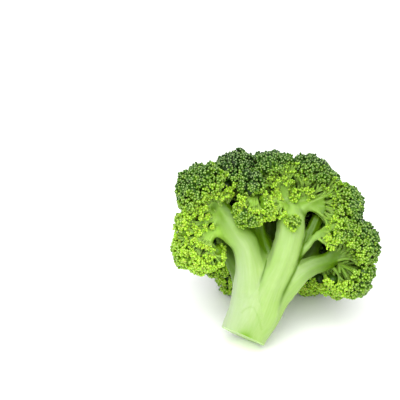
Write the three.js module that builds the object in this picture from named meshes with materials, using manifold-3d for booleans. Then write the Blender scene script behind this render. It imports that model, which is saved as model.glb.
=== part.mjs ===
// A cut head of broccoli, lying on a surface: one pale stalk that forks into branches, and the dark
// florets that the branches carry. Millimetres. The plant is drawn in its own frame, with the middle of
// the cut end at the origin, X to the side, Y to the back and Z up along the head, and is then leant
// back on the surface, where it rests on the rim of the cut end and on its two lowest back florets.
import * as THREE from "three";
import { mergeVertices } from "three/addons/utils/BufferGeometryUtils.js";
import { ConvexHull } from "three/addons/math/ConvexHull.js";
import Module from "manifold-3d";

const wasm = await Module();
wasm.setup();

// ---- driving dimensions -------------------------------------------------------------------------

const LEAN = THREE.MathUtils.degToRad(31); // how far the head leans back from upright
const TABLE = -9.0; // the surface's level in the leant plant, below the middle of the cut end
const PLANT_AT = new THREE.Vector3(-17.1, -41.8, -TABLE); // the cut end's place in the part's frame

const STEM_SIDES = 16;
const BRANCH_SIDES = 11;
const TWIG_SIDES = 8;
const LIMB_STEP = 9; // between a limb's cross sections
const FLUTES = 5; // shallow ribs that run up the stalk
const FLUTE_DEPTH = 0.035; // as a share of the radius
const CUT_NORMAL = new THREE.Vector3(-0.4, -0.1, -0.91).normalize(); // the knife's cut faces this way

const GAP = 0.35; // between a floret and the branch that it grows on
const NEIGHBOUR_GAP = 0.4; // between two florets that press on each other
const BUD_SPACING = 5.1; // buds are drawn larger than life
const BUD_UP = 0.5; // how far a bud stands out
const BUD_DOWN = 0.8; // and how deep the crease between buds is
const BUD_COVER = Math.cos(THREE.MathUtils.degToRad(118)); // buds reach this far round a floret
const TUFT_COVER = Math.cos(THREE.MathUtils.degToRad(112));
const TUFT_SPACING = 10.5; // tufts are the small domes that make up a floret
const TUFT_R = 0.58; // a tuft's radius, as a share of that spacing
const TUFT_SIZES = 0.12; // how much bigger or smaller than that it may be
const TUFT_UNEVEN = 0.9; // how far a tuft stands out or back from its neighbours
const CORE = 0.76; // the body that the tufts stand out of, as a share of the floret's radius
const UNDERSIDE = 0.5; // how far the flat underside lies behind a floret's centre, as a share too
const PRESSED = 0.9; // a floret that is held to this share of its reach has no buds there
const BARE_POINTS = 3; // and there only one point in so many is kept
const TWIG_END = -0.25; // where a twig stops, from the floret's centre, as a share of its radius
const GOLDEN_ANGLE = Math.PI * (3 - Math.sqrt(5));

const vector = (p) => new THREE.Vector3(...p);

// ---- the stalk's limbs: points along each, and the radius at each point --------------------------

const LIMBS = {
  trunk: [[[-2.8, 1.7, -9], 12], [[-0.3, 1.7, 2], 12.4], [[4.5, 2, 13], 13.4], [[8.5, 3, 25], 13.4],
    [[12, 6, 37], 11], [[14, 10, 48], 7.5]],
  left: [[[4, 0, 14], 8.5], [[4, -2, 30], 8.8], [[3.4, -3, 41], 8.6], [[0.5, -4, 52], 8.2],
    [[-6.5, -5, 62], 7.8], [[-13, -5, 71], 4.6]],
  middle: [[[8, -2, 12], 8.5], [[14, -4, 28], 8.4], [[20.5, -5, 41], 7.8], [[24.5, -5, 54], 7.5],
    [[25.8, -4, 65], 7.6], [[26.3, -1, 73.5], 4]],
  shaded: [[[8, 3, 24], 7], [[11, 3, 42], 6.4], [[9.5, 1, 56], 5.8], [[6, -3, 68], 4.8]],
  right: [[[9, 1, 8], 7.5], [[19, -1, 22], 6.8], [[28.5, -3, 34], 5.6], [[38, -4, 40.5], 4.8],
    [[46.5, -3, 43], 3.8]],
  right_shaded: [[[24, -2, 40], 4], [[31.5, -1, 50], 3.6], [[36.5, 0, 57.5], 3.8], [[40.5, 1, 66], 3.2]],
  back: [[[8, 8, 20], 9], [[12, 17, 38], 8.5], [[15, 26, 56], 7], [[16, 28, 72], 4.8]],
  back_left: [[[6, 4, 22], 7.5], [[-2, 13, 38], 6.5], [[-10, 20, 51], 5]],
  back_right: [[[12, 5, 22], 7.5], [[26, 13, 36], 6.5], [[40, 19, 47], 5]],
};

// ---- florets: centre, radius, the way each faces, and the twig that carries it --------------------
// A twig starts on a limb, at a share of its length, and its last point is inside the floret.

const FLORETS = {
  left_low: { at: [-24.3, -3, 50.8], r: 16.5, faces: [-0.6, 0.05, -0.8], on: "left", from: 0.5,
    via: [[-7, -5, 56], [-14, -5, 59]], twig: [4.6, 3.2] },
  left_high: { at: [-21.5, -3, 79.5], r: 17.5, faces: [-0.6, -0.25, 0.76], on: "left", from: 0.85,
    via: [], twig: [5, 4] },
  left_middle: { at: [-32, -9, 63.5], r: 8, faces: [-0.95, -0.2, 0.1], on: "left", from: 0.65,
    via: [[-15, -6, 65]], twig: [2.6, 2] },
  top_left: { at: [-4, 3.5, 88.5], r: 15.5, faces: [-0.2, -0.1, 0.97], on: "shaded", from: 0.7,
    via: [[1, 2, 74]], twig: [4.4, 3.2] },
  top_front: { at: [4.5, -9, 84.5], r: 9.5, faces: [-0.2, -0.75, 0.65], on: "shaded", from: 0.95,
    via: [], twig: [2.6, 2] },
  front_middle: { at: [3.5, -12, 69.5], r: 10.5, faces: [-0.2, -0.3, -0.93], on: "shaded", from: 0.9,
    via: [], twig: [3.4, 2.4] },
  front_inner: { at: [15, -11, 72.5], r: 9.5, faces: [-0.85, -0.45, -0.25], on: "middle", from: 0.8,
    via: [], twig: [3, 2.4] },
  front_sprig: { at: [28, -13.5, 64], r: 5, faces: [0.1, -0.95, -0.1], on: "middle", from: 0.75,
    via: [], twig: [1.6, 1.4] },
  top_middle: { at: [17, -1.5, 90], r: 14, faces: [-0.45, -0.15, 0.88], on: "middle", from: 0.85,
    via: [], twig: [4, 3] },
  top_right: { at: [36.5, 2.5, 86], r: 16, faces: [0.35, -0.1, 0.93], on: "middle", from: 0.8,
    via: [], twig: [4.2, 3.2] },
  right_high: { at: [50.5, 0, 70.5], r: 16.5, faces: [0.9, -0.1, -0.25], on: "middle", from: 0.72,
    via: [[33, -4, 72]], twig: [4, 2.8] },
  right_middle: { at: [60, -3, 51.5], r: 15.5, faces: [0.8, -0.1, 0.6], on: "right", from: 0.85,
    via: [], twig: [3.8, 2.8] },
  right_low: { at: [57.5, 0, 36.5], r: 15.5, faces: [0.75, 0, -0.65], on: "right", from: 0.8,
    via: [], twig: [3.6, 2.6] },
  right_inner: { at: [51.5, -13, 60], r: 8.5, faces: [0.8, -0.5, -0.3], on: "middle", from: 0.43,
    via: [[34, -6, 50], [39.5, -6.5, 57]], twig: [2, 1.5] },
  back_left_side: { at: [-14, 33, 46], r: 16, faces: [-0.7, 0.6, -0.35], on: "back_left", from: 0.6,
    via: [], twig: [5, 3.6] },
  back_left_low: { at: [0, 47.5, 34], r: 16.5, faces: [-0.3, 0.8, -0.5], on: "back", from: 0.2,
    via: [[7, 27, 36]], twig: [6, 3.8] },
  back_low: { at: [20, 53.5, 47], r: 17.5, faces: [0, 0.97, -0.25], on: "back", from: 0.4,
    via: [[17, 37, 46]], twig: [5.5, 3.8] },
  back_right_low: { at: [40, 47.5, 34], r: 16.5, faces: [0.35, 0.8, -0.5], on: "back", from: 0.2,
    via: [[24, 28, 37]], twig: [6, 3.8] },
  back_right_side: { at: [53, 22, 35.5], r: 16.5, faces: [0.8, 0.35, -0.5], on: "back_right", from: 0.5,
    via: [[39, 18, 38]], twig: [5, 3.6] },
  back_left: { at: [-21, 25, 62], r: 17.5, faces: [-0.75, 0.6, 0.2], on: "back_left", from: 0.85,
    via: [], twig: [5, 3.8] },
  back_right: { at: [51, 24.5, 56.5], r: 18, faces: [0.8, 0.6, 0.05], on: "back_right", from: 0.85,
    via: [], twig: [5, 3.8] },
  back_middle: { at: [35, 38, 51], r: 13, faces: [0.25, 0.95, 0.1], on: "back_right", from: 0.55,
    via: [], twig: [3.4, 2.6] },
  back_high_left: { at: [2, 46, 68], r: 17.5, faces: [-0.25, 0.9, 0.3], on: "back", from: 0.6,
    via: [[9, 35, 62]], twig: [5.4, 4] },
  back_high_right: { at: [34, 45, 68], r: 17.5, faces: [0.25, 0.9, 0.3], on: "back", from: 0.6,
    via: [[23, 35, 61]], twig: [5.4, 4] },
  back_top_left: { at: [-7, 26, 85], r: 16.5, faces: [-0.4, 0.45, 0.8], on: "back", from: 0.82,
    via: [[6, 27, 76]], twig: [4.6, 3.4] },
  back_top: { at: [17, 28, 89.5], r: 16.5, faces: [0.05, 0.35, 0.93], on: "back", from: 0.9,
    via: [], twig: [4.4, 3.4] },
  back_top_right: { at: [40, 26, 82], r: 17, faces: [0.45, 0.45, 0.75], on: "back", from: 0.82,
    via: [[26, 27, 75]], twig: [4.6, 3.4] },
};

const STALK_GREEN = new THREE.MeshStandardMaterial({ color: "#bfe283", roughness: 0.5, metalness: 0 });
const BUD_GREEN = new THREE.MeshStandardMaterial({ color: "#4f8a2c", roughness: 0.65, metalness: 0 });

// ---- solids ---------------------------------------------------------------------------------------

// A closed geometry as a manifold-3d solid.
function solidOf(geometry) {
  const bare = new THREE.BufferGeometry().setAttribute("position", geometry.getAttribute("position"));
  if (geometry.index) bare.setIndex(geometry.index);
  const merged = mergeVertices(bare, 1e-4);
  return new wasm.Manifold(
    new wasm.Mesh({
      numProp: 3,
      vertProperties: new Float32Array(merged.attributes.position.array),
      triVerts: new Uint32Array(merged.index.array),
    }),
  );
}

// A solid as a geometry with flat faces.
function geometryOf(solid) {
  const mesh = solid.getMesh();
  const made = new THREE.BufferGeometry()
    .setAttribute("position", new THREE.BufferAttribute(new Float32Array(mesh.vertProperties), 3))
    .setIndex(new THREE.BufferAttribute(new Uint32Array(mesh.triVerts), 1))
    .toNonIndexed();
  made.computeVertexNormals();
  return made;
}

const union = (solids) => solids.reduce((all, one) => all.add(one));

// The biggest of a solid's separate bodies: a cut can leave loose scraps.
function mainBody(solid) {
  return solid.decompose().reduce((best, one) => (one.volume() > best.volume() ? one : best));
}

// A big block with one face on the plane through `point`, on the side that `normal` points to.
function blockBeyond(point, normal) {
  const size = 200;
  const block = new THREE.BoxGeometry(size, size, size).translate(0, 0, size / 2);
  block.applyQuaternion(new THREE.Quaternion().setFromUnitVectors(new THREE.Vector3(0, 0, 1), normal));
  return solidOf(block.translate(point.x, point.y, point.z));
}

// ---- limbs ----------------------------------------------------------------------------------------

// A tapered limb through `points`, with `radii` at those points, `sides` facets and both ends closed.
// `grow` makes it that much thicker, and longer at both ends.
function limbGeometry(points, radii, sides, grow, flutes = 0) {
  const curve = new THREE.CatmullRomCurve3(points, false, "centripetal");
  const steps = Math.max(2, Math.round(curve.getLength() / LIMB_STEP));
  const frames = curve.computeFrenetFrames(steps, false);
  const positions = [];
  for (let i = 0; i <= steps; i++) {
    const along = i / steps;
    const place = curve.getUtoTmapping(along) * (radii.length - 1);
    const k = Math.min(Math.floor(place), radii.length - 2);
    const radius = THREE.MathUtils.lerp(radii[k], radii[k + 1], place - k) + grow;
    const centre = curve.getPointAt(along);
    if (i === 0) centre.addScaledVector(frames.tangents[i], -grow);
    if (i === steps) centre.addScaledVector(frames.tangents[i], grow);
    for (let j = 0; j < sides; j++) {
      const turn = (j / sides) * Math.PI * 2;
      const r = radius * (1 + flutes * Math.cos(FLUTES * turn));
      positions.push(
        centre
          .clone()
          .addScaledVector(frames.normals[i], r * Math.cos(turn))
          .addScaledVector(frames.binormals[i], r * Math.sin(turn)),
      );
    }
  }
  for (const [i, way] of [[0, -grow], [steps, grow]]) {
    positions.push(curve.getPointAt(i / steps).addScaledVector(frames.tangents[i], way));
  }
  const [startCap, endCap] = [positions.length - 2, positions.length - 1];
  const index = [];
  for (let j = 0; j < sides; j++) {
    const next = (j + 1) % sides;
    index.push(startCap, next, j);
    index.push(endCap, steps * sides + j, steps * sides + next);
    for (let i = 0; i < steps; i++) {
      const [a, b] = [i * sides + j, i * sides + next];
      index.push(a, b, a + sides, b, b + sides, a + sides);
    }
  }
  return new THREE.BufferGeometry().setFromPoints(positions).setIndex(index);
}

// Every limb and twig of the stalk in one solid, `grow` thicker all over and `grow` longer at the tips.
function branching(grow) {
  const solids = [];
  for (const [name, stations] of Object.entries(LIMBS)) {
    const points = stations.map(([p]) => vector(p));
    const radii = stations.map(([, r]) => r);
    const isTrunk = name === "trunk";
    const [sides, flutes] = isTrunk ? [STEM_SIDES, FLUTE_DEPTH] : [BRANCH_SIDES, 0];
    solids.push(solidOf(limbGeometry(points, radii, sides, grow, flutes)));
  }
  for (const floret of Object.values(FLORETS)) {
    const points = twigPoints(floret);
    const [thick, thin] = floret.twig;
    const radii = points.map((_, i) => THREE.MathUtils.lerp(thick, thin, i / (points.length - 1)));
    solids.push(solidOf(limbGeometry(points, radii, TWIG_SIDES, grow)));
  }
  return union(solids);
}

// A twig leaves its limb, passes its own points and ends inside its floret, going the way that faces.
function twigPoints(floret) {
  const limb = new THREE.CatmullRomCurve3(LIMBS[floret.on].map(([p]) => vector(p)), false, "centripetal");
  const [centre, faces] = [vector(floret.at), vector(floret.faces).normalize()];
  return [
    limb.getPointAt(floret.from),
    ...floret.via.map(vector),
    centre.clone().addScaledVector(faces, TWIG_END * floret.r),
  ];
}

function stalkSolid() {
  const knife = blockBeyond(new THREE.Vector3(), CUT_NORMAL);
  const surface = blockBeyond(tableNormal().multiplyScalar(-TABLE), tableNormal());
  return mainBody(branching(0).subtract(knife).subtract(surface));
}

// ---- florets --------------------------------------------------------------------------------------

// The way down to the surface, in the plant's own frame.
function tableNormal() {
  return new THREE.Vector3(0, Math.sin(LEAN), -Math.cos(LEAN));
}

// Directions spread evenly round a floret, from the way it faces to its root, a golden angle apart,
// as buds grow. `cover` is the cosine of the last one's angle from the way that the floret faces.
function spiral(faces, count, cover) {
  const turn = new THREE.Quaternion().setFromUnitVectors(new THREE.Vector3(0, 0, 1), faces);
  return Array.from({ length: count }, (_, k) => {
    const height = 1 - ((1 - cover) * (k + 0.5)) / count;
    const ring = Math.sqrt(1 - height * height);
    const angle = k * GOLDEN_ANGLE;
    return new THREE.Vector3(ring * Math.cos(angle), ring * Math.sin(angle), height).applyQuaternion(turn);
  });
}

// How many points a `spacing` apart fit on the part of a ball that the spiral covers, close packed.
function countOn(radius, cover, spacing) {
  const cell = (Math.sqrt(3) / 2) * spacing * spacing;
  return Math.round((2 * Math.PI * radius * radius * (1 - cover)) / cell);
}

// The small domes of a floret: each one's centre, seen from the floret's, and its radius.
function tuftsOf(floret, faces) {
  const count = Math.max(5, countOn(floret.r, TUFT_COVER, TUFT_SPACING));
  const radius = Math.min(TUFT_R * TUFT_SPACING, 0.5 * floret.r);
  return spiral(faces, count, TUFT_COVER).map((way, k) => {
    const size = radius * (1 + TUFT_SIZES * Math.sin(5.3 * k));
    const out = floret.r - size + TUFT_UNEVEN * Math.sin(3.7 * k + floret.at[0]);
    return { centre: way.multiplyScalar(out), radius: size };
  });
}

// The planes that a floret stays behind: its own flat underside, those halfway to its neighbours, and
// the surface.
function limitsOf(name, faces) {
  const floret = FLORETS[name];
  const centre = vector(floret.at);
  const limits = [
    { way: faces.clone().negate(), distance: UNDERSIDE * floret.r },
    { way: tableNormal(), distance: -TABLE - centre.dot(tableNormal()) },
  ];
  for (const [other, { at, r }] of Object.entries(FLORETS)) {
    if (other === name) continue;
    const way = vector(at).sub(centre);
    const apart = way.length();
    const distance = (apart * apart + floret.r ** 2 - r ** 2) / (2 * apart) - NEIGHBOUR_GAP / 2;
    limits.push({ way: way.normalize(), distance });
  }
  return limits;
}

// How far the tufts of a floret reach from its centre in a direction.
function tuftReach(floret, tufts, direction) {
  let far = CORE * floret.r;
  for (const { centre, radius } of tufts) {
    const along = direction.dot(centre);
    const inside = radius * radius - centre.lengthSq() + along * along;
    if (inside > 0) far = Math.max(far, along + Math.sqrt(inside));
  }
  return far;
}

// How far a floret may reach in a direction before it meets a plane that it stays behind.
function roomAhead(limits, direction) {
  return limits.reduce((least, { way, distance }) => {
    const towards = direction.dot(way);
    return towards > 0 ? Math.min(least, distance / towards) : least;
  }, Infinity);
}

// A floret's surface: each bud is a raised point, and a lowered point lies in every crease between
// three buds. The hull of the directions gives which buds are neighbours. Where the floret is pressed
// flat there are no buds, and the points are few.
function floretGeometry(name) {
  const floret = FLORETS[name];
  const faces = vector(floret.faces).normalize();
  const tufts = tuftsOf(floret, faces);
  const limits = limitsOf(name, faces);
  const isBud = (way) =>
    way.dot(faces) > BUD_COVER && roomAhead(limits, way) > PRESSED * tuftReach(floret, tufts, way);
  const directions = spiral(faces, countOn(floret.r, -1, BUD_SPACING), -1).filter(
    (way, k) => isBud(way) || k % BARE_POINTS === 0,
  );
  const place = (way, relief) => {
    const far = Math.min(tuftReach(floret, tufts, way) + relief, roomAhead(limits, way));
    return way.clone().multiplyScalar(far);
  };

  const numberOf = new Map(directions.map((way, i) => [way, i]));
  const points = directions.map((way) => place(way, isBud(way) ? BUD_UP : 0));
  const hull = new ConvexHull().setFromPoints(directions);
  const creaseOf = new Map();
  for (const face of hull.faces) {
    const corners = cornersOf(face);
    if (!corners.every(isBud)) continue;
    const middle = corners[0].clone().add(corners[1]).add(corners[2]).normalize();
    creaseOf.set(face, points.push(place(middle, -BUD_DOWN)) - 1);
  }

  const index = [];
  for (const face of hull.faces) {
    const crease = creaseOf.get(face);
    if (crease === undefined) {
      index.push(...cornersOf(face).map((way) => numberOf.get(way)));
      continue;
    }
    for (let k = 0; k < 3; k++) {
      const edge = face.getEdge(k);
      const [tail, head] = [numberOf.get(edge.tail().point), numberOf.get(edge.head().point)];
      const across = creaseOf.get(edge.twin.face);
      if (across === undefined) index.push(tail, head, crease);
      else index.push(tail, across, crease);
    }
  }
  return new THREE.BufferGeometry().setFromPoints(points).setIndex(index);
}

// The three directions at a hull face's corners, the way round that faces out.
function cornersOf(face) {
  return [0, 1, 2].map((k) => face.getEdge(k).head().point);
}

function floretSolid(name, room) {
  const solid = solidOf(floretGeometry(name).translate(...FLORETS[name].at));
  return mainBody(solid.subtract(room));
}

// ---- the head -------------------------------------------------------------------------------------

const plant = new THREE.Group();

function addPart(name, solid, material) {
  const mesh = new THREE.Mesh(geometryOf(solid), material);
  mesh.name = name;
  plant.add(mesh);
}

addPart("stalk", stalkSolid(), STALK_GREEN);
const roomForStalk = branching(GAP);
for (const name of Object.keys(FLORETS)) {
  addPart("floret_" + name, floretSolid(name, roomForStalk), BUD_GREEN);
}

plant.rotation.x = -LEAN;
plant.position.copy(PLANT_AT);

const head = new THREE.Group();
head.add(plant);
export default head;
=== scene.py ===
# %% [markdown]
# # A head of broccoli
#
# A head of broccoli is one plant body in two colours: a pale stalk that forks again and again, and the dark
# flower buds that crowd on its last and finest twigs. The frame holds plain solids of both. This lesson
# grows a skin over the stalk's limbs, builds every floret out of tufts, clusters and single buds, gives
# both their finish, lights the head and sets a camera in front of it.

# %% Load the frame
import math

import bmesh
import bpy
import numpy as np
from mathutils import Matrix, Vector


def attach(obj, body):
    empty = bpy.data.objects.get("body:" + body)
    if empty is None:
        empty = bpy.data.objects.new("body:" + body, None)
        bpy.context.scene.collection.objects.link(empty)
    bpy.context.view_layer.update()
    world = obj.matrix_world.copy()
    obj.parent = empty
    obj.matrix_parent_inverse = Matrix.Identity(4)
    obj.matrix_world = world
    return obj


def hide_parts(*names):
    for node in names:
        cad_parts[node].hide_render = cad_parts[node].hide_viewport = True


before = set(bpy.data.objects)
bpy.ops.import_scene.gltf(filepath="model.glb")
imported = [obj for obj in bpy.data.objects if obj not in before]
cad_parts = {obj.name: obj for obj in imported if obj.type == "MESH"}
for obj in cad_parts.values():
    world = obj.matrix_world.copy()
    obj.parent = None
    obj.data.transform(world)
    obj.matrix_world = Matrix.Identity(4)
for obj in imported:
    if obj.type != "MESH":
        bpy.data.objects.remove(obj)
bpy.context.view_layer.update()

print("nodes in the frame:", len(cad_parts))

# %% [markdown]
# ## The plant's own frame
#
# The head lies leant back on its rear florets, but a plant is easiest to draw standing: the middle of the
# cut end at the origin, X to the side, Y to the back and Z up along the head. Everything below is worked out
# in that standing frame in millimetres, and one function leans it back into the part's frame, in metres.

# %% From the standing plant to the lying head
MM = 0.001
LEAN = math.radians(31)
CUT_AT = np.array([-17.1, -41.8, 9.0])  # the middle of the cut end, in the part's frame
LEANT = np.array([
    [1, 0, 0],
    [0, math.cos(LEAN), math.sin(LEAN)],
    [0, -math.sin(LEAN), math.cos(LEAN)],
])
DOWN = -LEANT[2]  # straight down, seen by the standing plant
NEAR = np.array([0, -1, 0])  # to the side where the head was broken from a bigger one


def leant(points):
    """Points of the standing plant as points of the lying head, both in millimetres."""
    return np.asarray(points) @ LEANT.T + CUT_AT


def lying(points):
    """The same in metres, and pressed flat where the head rests on the surface."""
    points = leant(points) * MM
    points[:, 2] = np.maximum(points[:, 2], 0)
    return points


def unit(vectors):
    """The same directions, one long."""
    vectors = np.asarray(vectors, dtype=float)
    return vectors / np.linalg.norm(vectors, axis=-1, keepdims=True)


def rising(values, start, full):
    """0 up to one value, 1 from another one on, and an even rise between them."""
    return np.clip((values - start) / (full - start), 0, 1)


print("the surface is", leant((0, 0, 0))[2], "mm below the middle of the cut")

# %% [markdown]
# ## Where the limbs run
#
# The stalk is a tree in small: a trunk, eight branches and a twig to every floret. Each limb could be drawn
# as a Blender curve with a bevel, but its thickness must also be known as numbers when the skin is coloured,
# so a limb is a short list of stations, each X, Y, Z and a radius, with a smooth curve run through them.

# %% The stalk's limbs
LIMBS = {
    "trunk": [(-2.8, 1.7, -9, 12), (-0.3, 1.7, 2, 12.4), (4.5, 2, 13, 13.4), (8.5, 3, 25, 13.4),
              (12, 6, 37, 11), (14, 10, 48, 7.5)],
    "left": [(4, 0, 14, 8.5), (4, -2, 30, 8.8), (3.4, -3, 41, 8.6), (0.5, -4, 52, 8.2),
             (-6.5, -5, 62, 7.8), (-13, -5, 71, 4.6)],
    "middle": [(8, -2, 12, 8.5), (14, -4, 28, 8.4), (20.5, -5, 41, 7.8), (24.5, -5, 54, 7.5),
               (25.8, -4, 65, 7.6), (26.3, -1, 73.5, 4)],
    "shaded": [(8, 3, 24, 7), (10, 4, 42, 6), (8, 2.5, 56, 5.2), (5.5, -2, 68, 4.4)],
    "right": [(9, 1, 8, 7.5), (19, -1, 22, 6.8), (28.5, -3, 33.6, 6), (38, -4, 40, 5.3),
              (46.5, -3, 42.6, 4.3)],
    "right_shaded": [(24, -2, 40, 4), (31.5, -1, 50, 3.6), (36.5, 0, 57.5, 3.8), (40.5, 1, 66, 3.2)],
    "back": [(8, 8, 20, 9), (12, 17, 38, 8.5), (15, 26, 56, 7), (16, 28, 72, 4.8)],
    "back_left": [(6, 4, 22, 7.5), (-2, 13, 38, 6.5), (-10, 20, 51, 5)],
    "back_right": [(12, 5, 22, 7.5), (26, 13, 36, 6.5), (40, 19, 47, 5)],
}

print("limbs:", ", ".join(LIMBS))

# %% [markdown]
# ## Where the florets sit
#
# Each floret has a centre, a radius, the way it faces, and a twig that leaves a limb at some share of its
# length. `young` says how far its buds lag behind: buds that were shaded by the rest of the head stay
# yellow and light, and those in the sun turn dark and bluish. The rest has a usual value, which is listed
# first, and most of it shapes the fan of branchlets in a floret that is open to the near side.

# %% The florets
USUAL = dict(
    via=[],  # points that the twig passes
    root=0.8,  # how far behind the centre the branchlets start, as a share of the radius
    near=0,  # how far that start is moved to the near side, in mm
    open=-1,  # how far up the opening reaches, as a share of the radius. At -1 the floret is closed
    layers=2,  # of branchlets in the fan
    rays=0,  # branchlets in a layer, or 0 for as many as the radius allows
    fan=(-75, 75),  # degrees over which they spread
    leave=5.0,  # mm of the twig over which they leave it, the outermost first
    sprigs=[],  # tips of single sprays that grow on the twig itself
    shade=0,  # how much the rest of the head shades the opening, painted into its branchlets, hearts and sprays as shade
)
FLORETS = {
    "left_low": dict(
        at=(-24.3, -3, 50.8), r=16.5, faces=(-0.6, 0.05, -0.8), on="left", start=0.5, twig=(4.6, 3.2),
        via=[(-7, -5, 56), (-14, -5, 59)], root=0.5, near=2, layers=3, fan=(-42, 75), open=0.35, young=0.67),
    "left_high": dict(
        at=(-21.5, -3, 79.5), r=17.5, faces=(-0.6, -0.25, 0.76), on="left", start=0.85, twig=(4.6, 3.2),
        root=0.5, near=5, layers=3, leave=10, open=0.1, young=0.19,
        sprigs=[(-9, -5, 80), (-6.5, -6, 78.5), (-8.5, -7, 76.5)]),
    "left_middle": dict(
        at=(-32, -9, 63.5), r=8, faces=(-0.95, -0.2, 0.1), on="left", start=0.65, twig=(2.6, 2),
        via=[(-15, -6, 65)], layers=1, rays=4, open=-0.3, young=0.55,
        sprigs=[(-19, -10, 67), (-23, -11, 66.5), (-17, -10, 61.5), (-21, -11, 61.5)]),
    "top_left": dict(
        at=(-4, 3.5, 88.5), r=15.5, faces=(-0.2, -0.1, 0.97), on="shaded", start=0.7, twig=(4.4, 3.2),
        via=[(1, 2, 74)], young=-0.05),
    "top_front": dict(
        at=(4.5, -9, 84.5), r=9.5, faces=(-0.2, -0.75, 0.65), on="shaded", start=0.95, twig=(2.6, 2),
        young=-0.05),
    "front_middle": dict(
        at=(3.5, -12, 69.5), r=10.5, faces=(-0.2, -0.3, -0.93), on="shaded", start=0.9, twig=(3.4, 2.4),
        via=[(6, -6, 77)], open=0.45, young=0.25),
    "front_inner": dict(
        at=(15, -11, 72.5), r=9.5, faces=(-0.85, -0.45, -0.25), on="middle", start=0.8, twig=(3, 2.4),
        open=0.45, young=0.5),
    "front_sprig": dict(
        at=(25.8, -13.5, 64.5), r=5, faces=(0.1, -0.95, -0.1), on="middle", start=0.75, twig=(1.6, 1.4),
        young=0.42),
    "top_middle": dict(
        at=(17, -1.5, 90), r=14, faces=(-0.45, -0.15, 0.88), on="middle", start=0.85, twig=(3.4, 2.6),
        near=2, layers=3, leave=11, open=0.3, young=0.12),
    "top_right": dict(
        at=(36.5, 2.5, 86), r=16, faces=(0.35, -0.1, 0.93), on="middle", start=0.8, twig=(3.8, 2.8),
        near=3, layers=3, leave=9, open=0.25, young=0.09),
    "right_high": dict(
        at=(50.5, 0, 70.5), r=16.5, faces=(0.9, -0.1, -0.25), on="middle", start=0.72, twig=(3.4, 2.4),
        via=[(33, -4, 72)], near=3, fan=(-75, 40), leave=12, shade=0.15, open=0.1, young=0.14),
    "right_middle": dict(
        at=(60, -3, 51.5), r=15.5, faces=(0.8, -0.1, 0.6), on="right", start=0.85, twig=(4.2, 3.2),
        root=0.6, near=3, leave=9, shade=0.55, open=-0.15, young=0.13),
    "right_low": dict(
        at=(57.5, 0, 36.5), r=15.5, faces=(0.75, 0, -0.65), on="right", start=0.8, twig=(4, 3),
        root=0.6, near=2, layers=1, rays=4, leave=9, fan=(-75, 35), shade=0.6, open=0.02, young=0.18),
    "right_inner": dict(
        at=(51.5, -13, 60), r=8.5, faces=(0.8, -0.5, -0.3), on="middle", start=0.43, twig=(2, 1.5),
        via=[(34, -6, 50), (39.5, -6.5, 57)], open=0.1, young=0.3,
        sprigs=[(44.5, -10, 52), (47.5, -11, 50.5), (48, -11.5, 54)]),
    "back_left_side": dict(
        at=(-14, 33, 46), r=16, faces=(-0.7, 0.6, -0.35), on="back_left", start=0.6, twig=(5, 3.6), young=0),
    "back_left_low": dict(
        at=(0, 47.5, 34), r=16.5, faces=(-0.3, 0.8, -0.5), on="back", start=0.2, twig=(6, 3.8),
        via=[(7, 27, 36)], young=0.05),
    "back_low": dict(
        at=(20, 53.5, 47), r=17.5, faces=(0, 0.97, -0.25), on="back", start=0.4, twig=(5.5, 3.8),
        via=[(17, 37, 46)], young=0.2),
    "back_right_low": dict(
        at=(40, 47.5, 34), r=16.5, faces=(0.35, 0.8, -0.5), on="back", start=0.2, twig=(6, 3.8),
        via=[(24, 28, 37)], young=0.15),
    "back_right_side": dict(
        at=(53, 22, 35.5), r=16.5, faces=(0.8, 0.35, -0.5), on="back_right", start=0.5, twig=(5, 3.6),
        via=[(39, 18, 38)], young=0.13),
    "back_left": dict(
        at=(-21, 25, 62), r=17.5, faces=(-0.75, 0.6, 0.2), on="back_left", start=0.85, twig=(5, 3.8),
        young=0.1),
    "back_right": dict(
        at=(51, 24.5, 56.5), r=18, faces=(0.8, 0.6, 0.05), on="back_right", start=0.85, twig=(5, 3.8),
        young=0.1),
    "back_middle": dict(
        at=(35, 38, 51), r=13, faces=(0.25, 0.95, 0.1), on="back_right", start=0.55, twig=(3.4, 2.6),
        young=0.2),
    "back_high_left": dict(
        at=(2, 46, 68), r=17.5, faces=(-0.25, 0.9, 0.3), on="back", start=0.6, twig=(5.4, 4),
        via=[(9, 35, 62)], young=0.05),
    "back_high_right": dict(
        at=(34, 45, 68), r=17.5, faces=(0.25, 0.9, 0.3), on="back", start=0.6, twig=(5.4, 4),
        via=[(23, 35, 61)], young=0.05),
    "back_top_left": dict(
        at=(-7, 26, 85), r=16.5, faces=(-0.4, 0.45, 0.8), on="back", start=0.82, twig=(4.6, 3.4),
        via=[(6, 27, 76)], young=0),
    "back_top": dict(
        at=(17, 28, 89.5), r=16.5, faces=(0.05, 0.35, 0.93), on="back", start=0.9, twig=(4.4, 3.4), young=0),
    "back_top_right": dict(
        at=(40, 26, 82), r=17, faces=(0.45, 0.45, 0.75), on="back", start=0.82, twig=(4.6, 3.4),
        via=[(26, 27, 75)], young=0),
}
for name, own in FLORETS.items():
    FLORETS[name] = {**USUAL, **own, "at": np.array(own["at"]), "faces": unit(own["faces"])}
OPEN_FLORETS = [name for name, floret in FLORETS.items() if floret["open"] > -1]

print("florets:", len(FLORETS), "of them open:", len(OPEN_FLORETS))

# %% [markdown]
# ## A smooth curve through a few stations
#
# A Catmull-Rom curve passes through its points, which a Bezier does only at its ends, so the stations can
# be moved one at a time. The centripetal kind takes the square root of each span and never loops. The
# result is cut into even steps, because uneven rings would show as pleats in the skin.

# %% Curves
CURVE_STEP = 1.5  # mm between two rings of a limb
FINE_STEPS = 24


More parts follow.
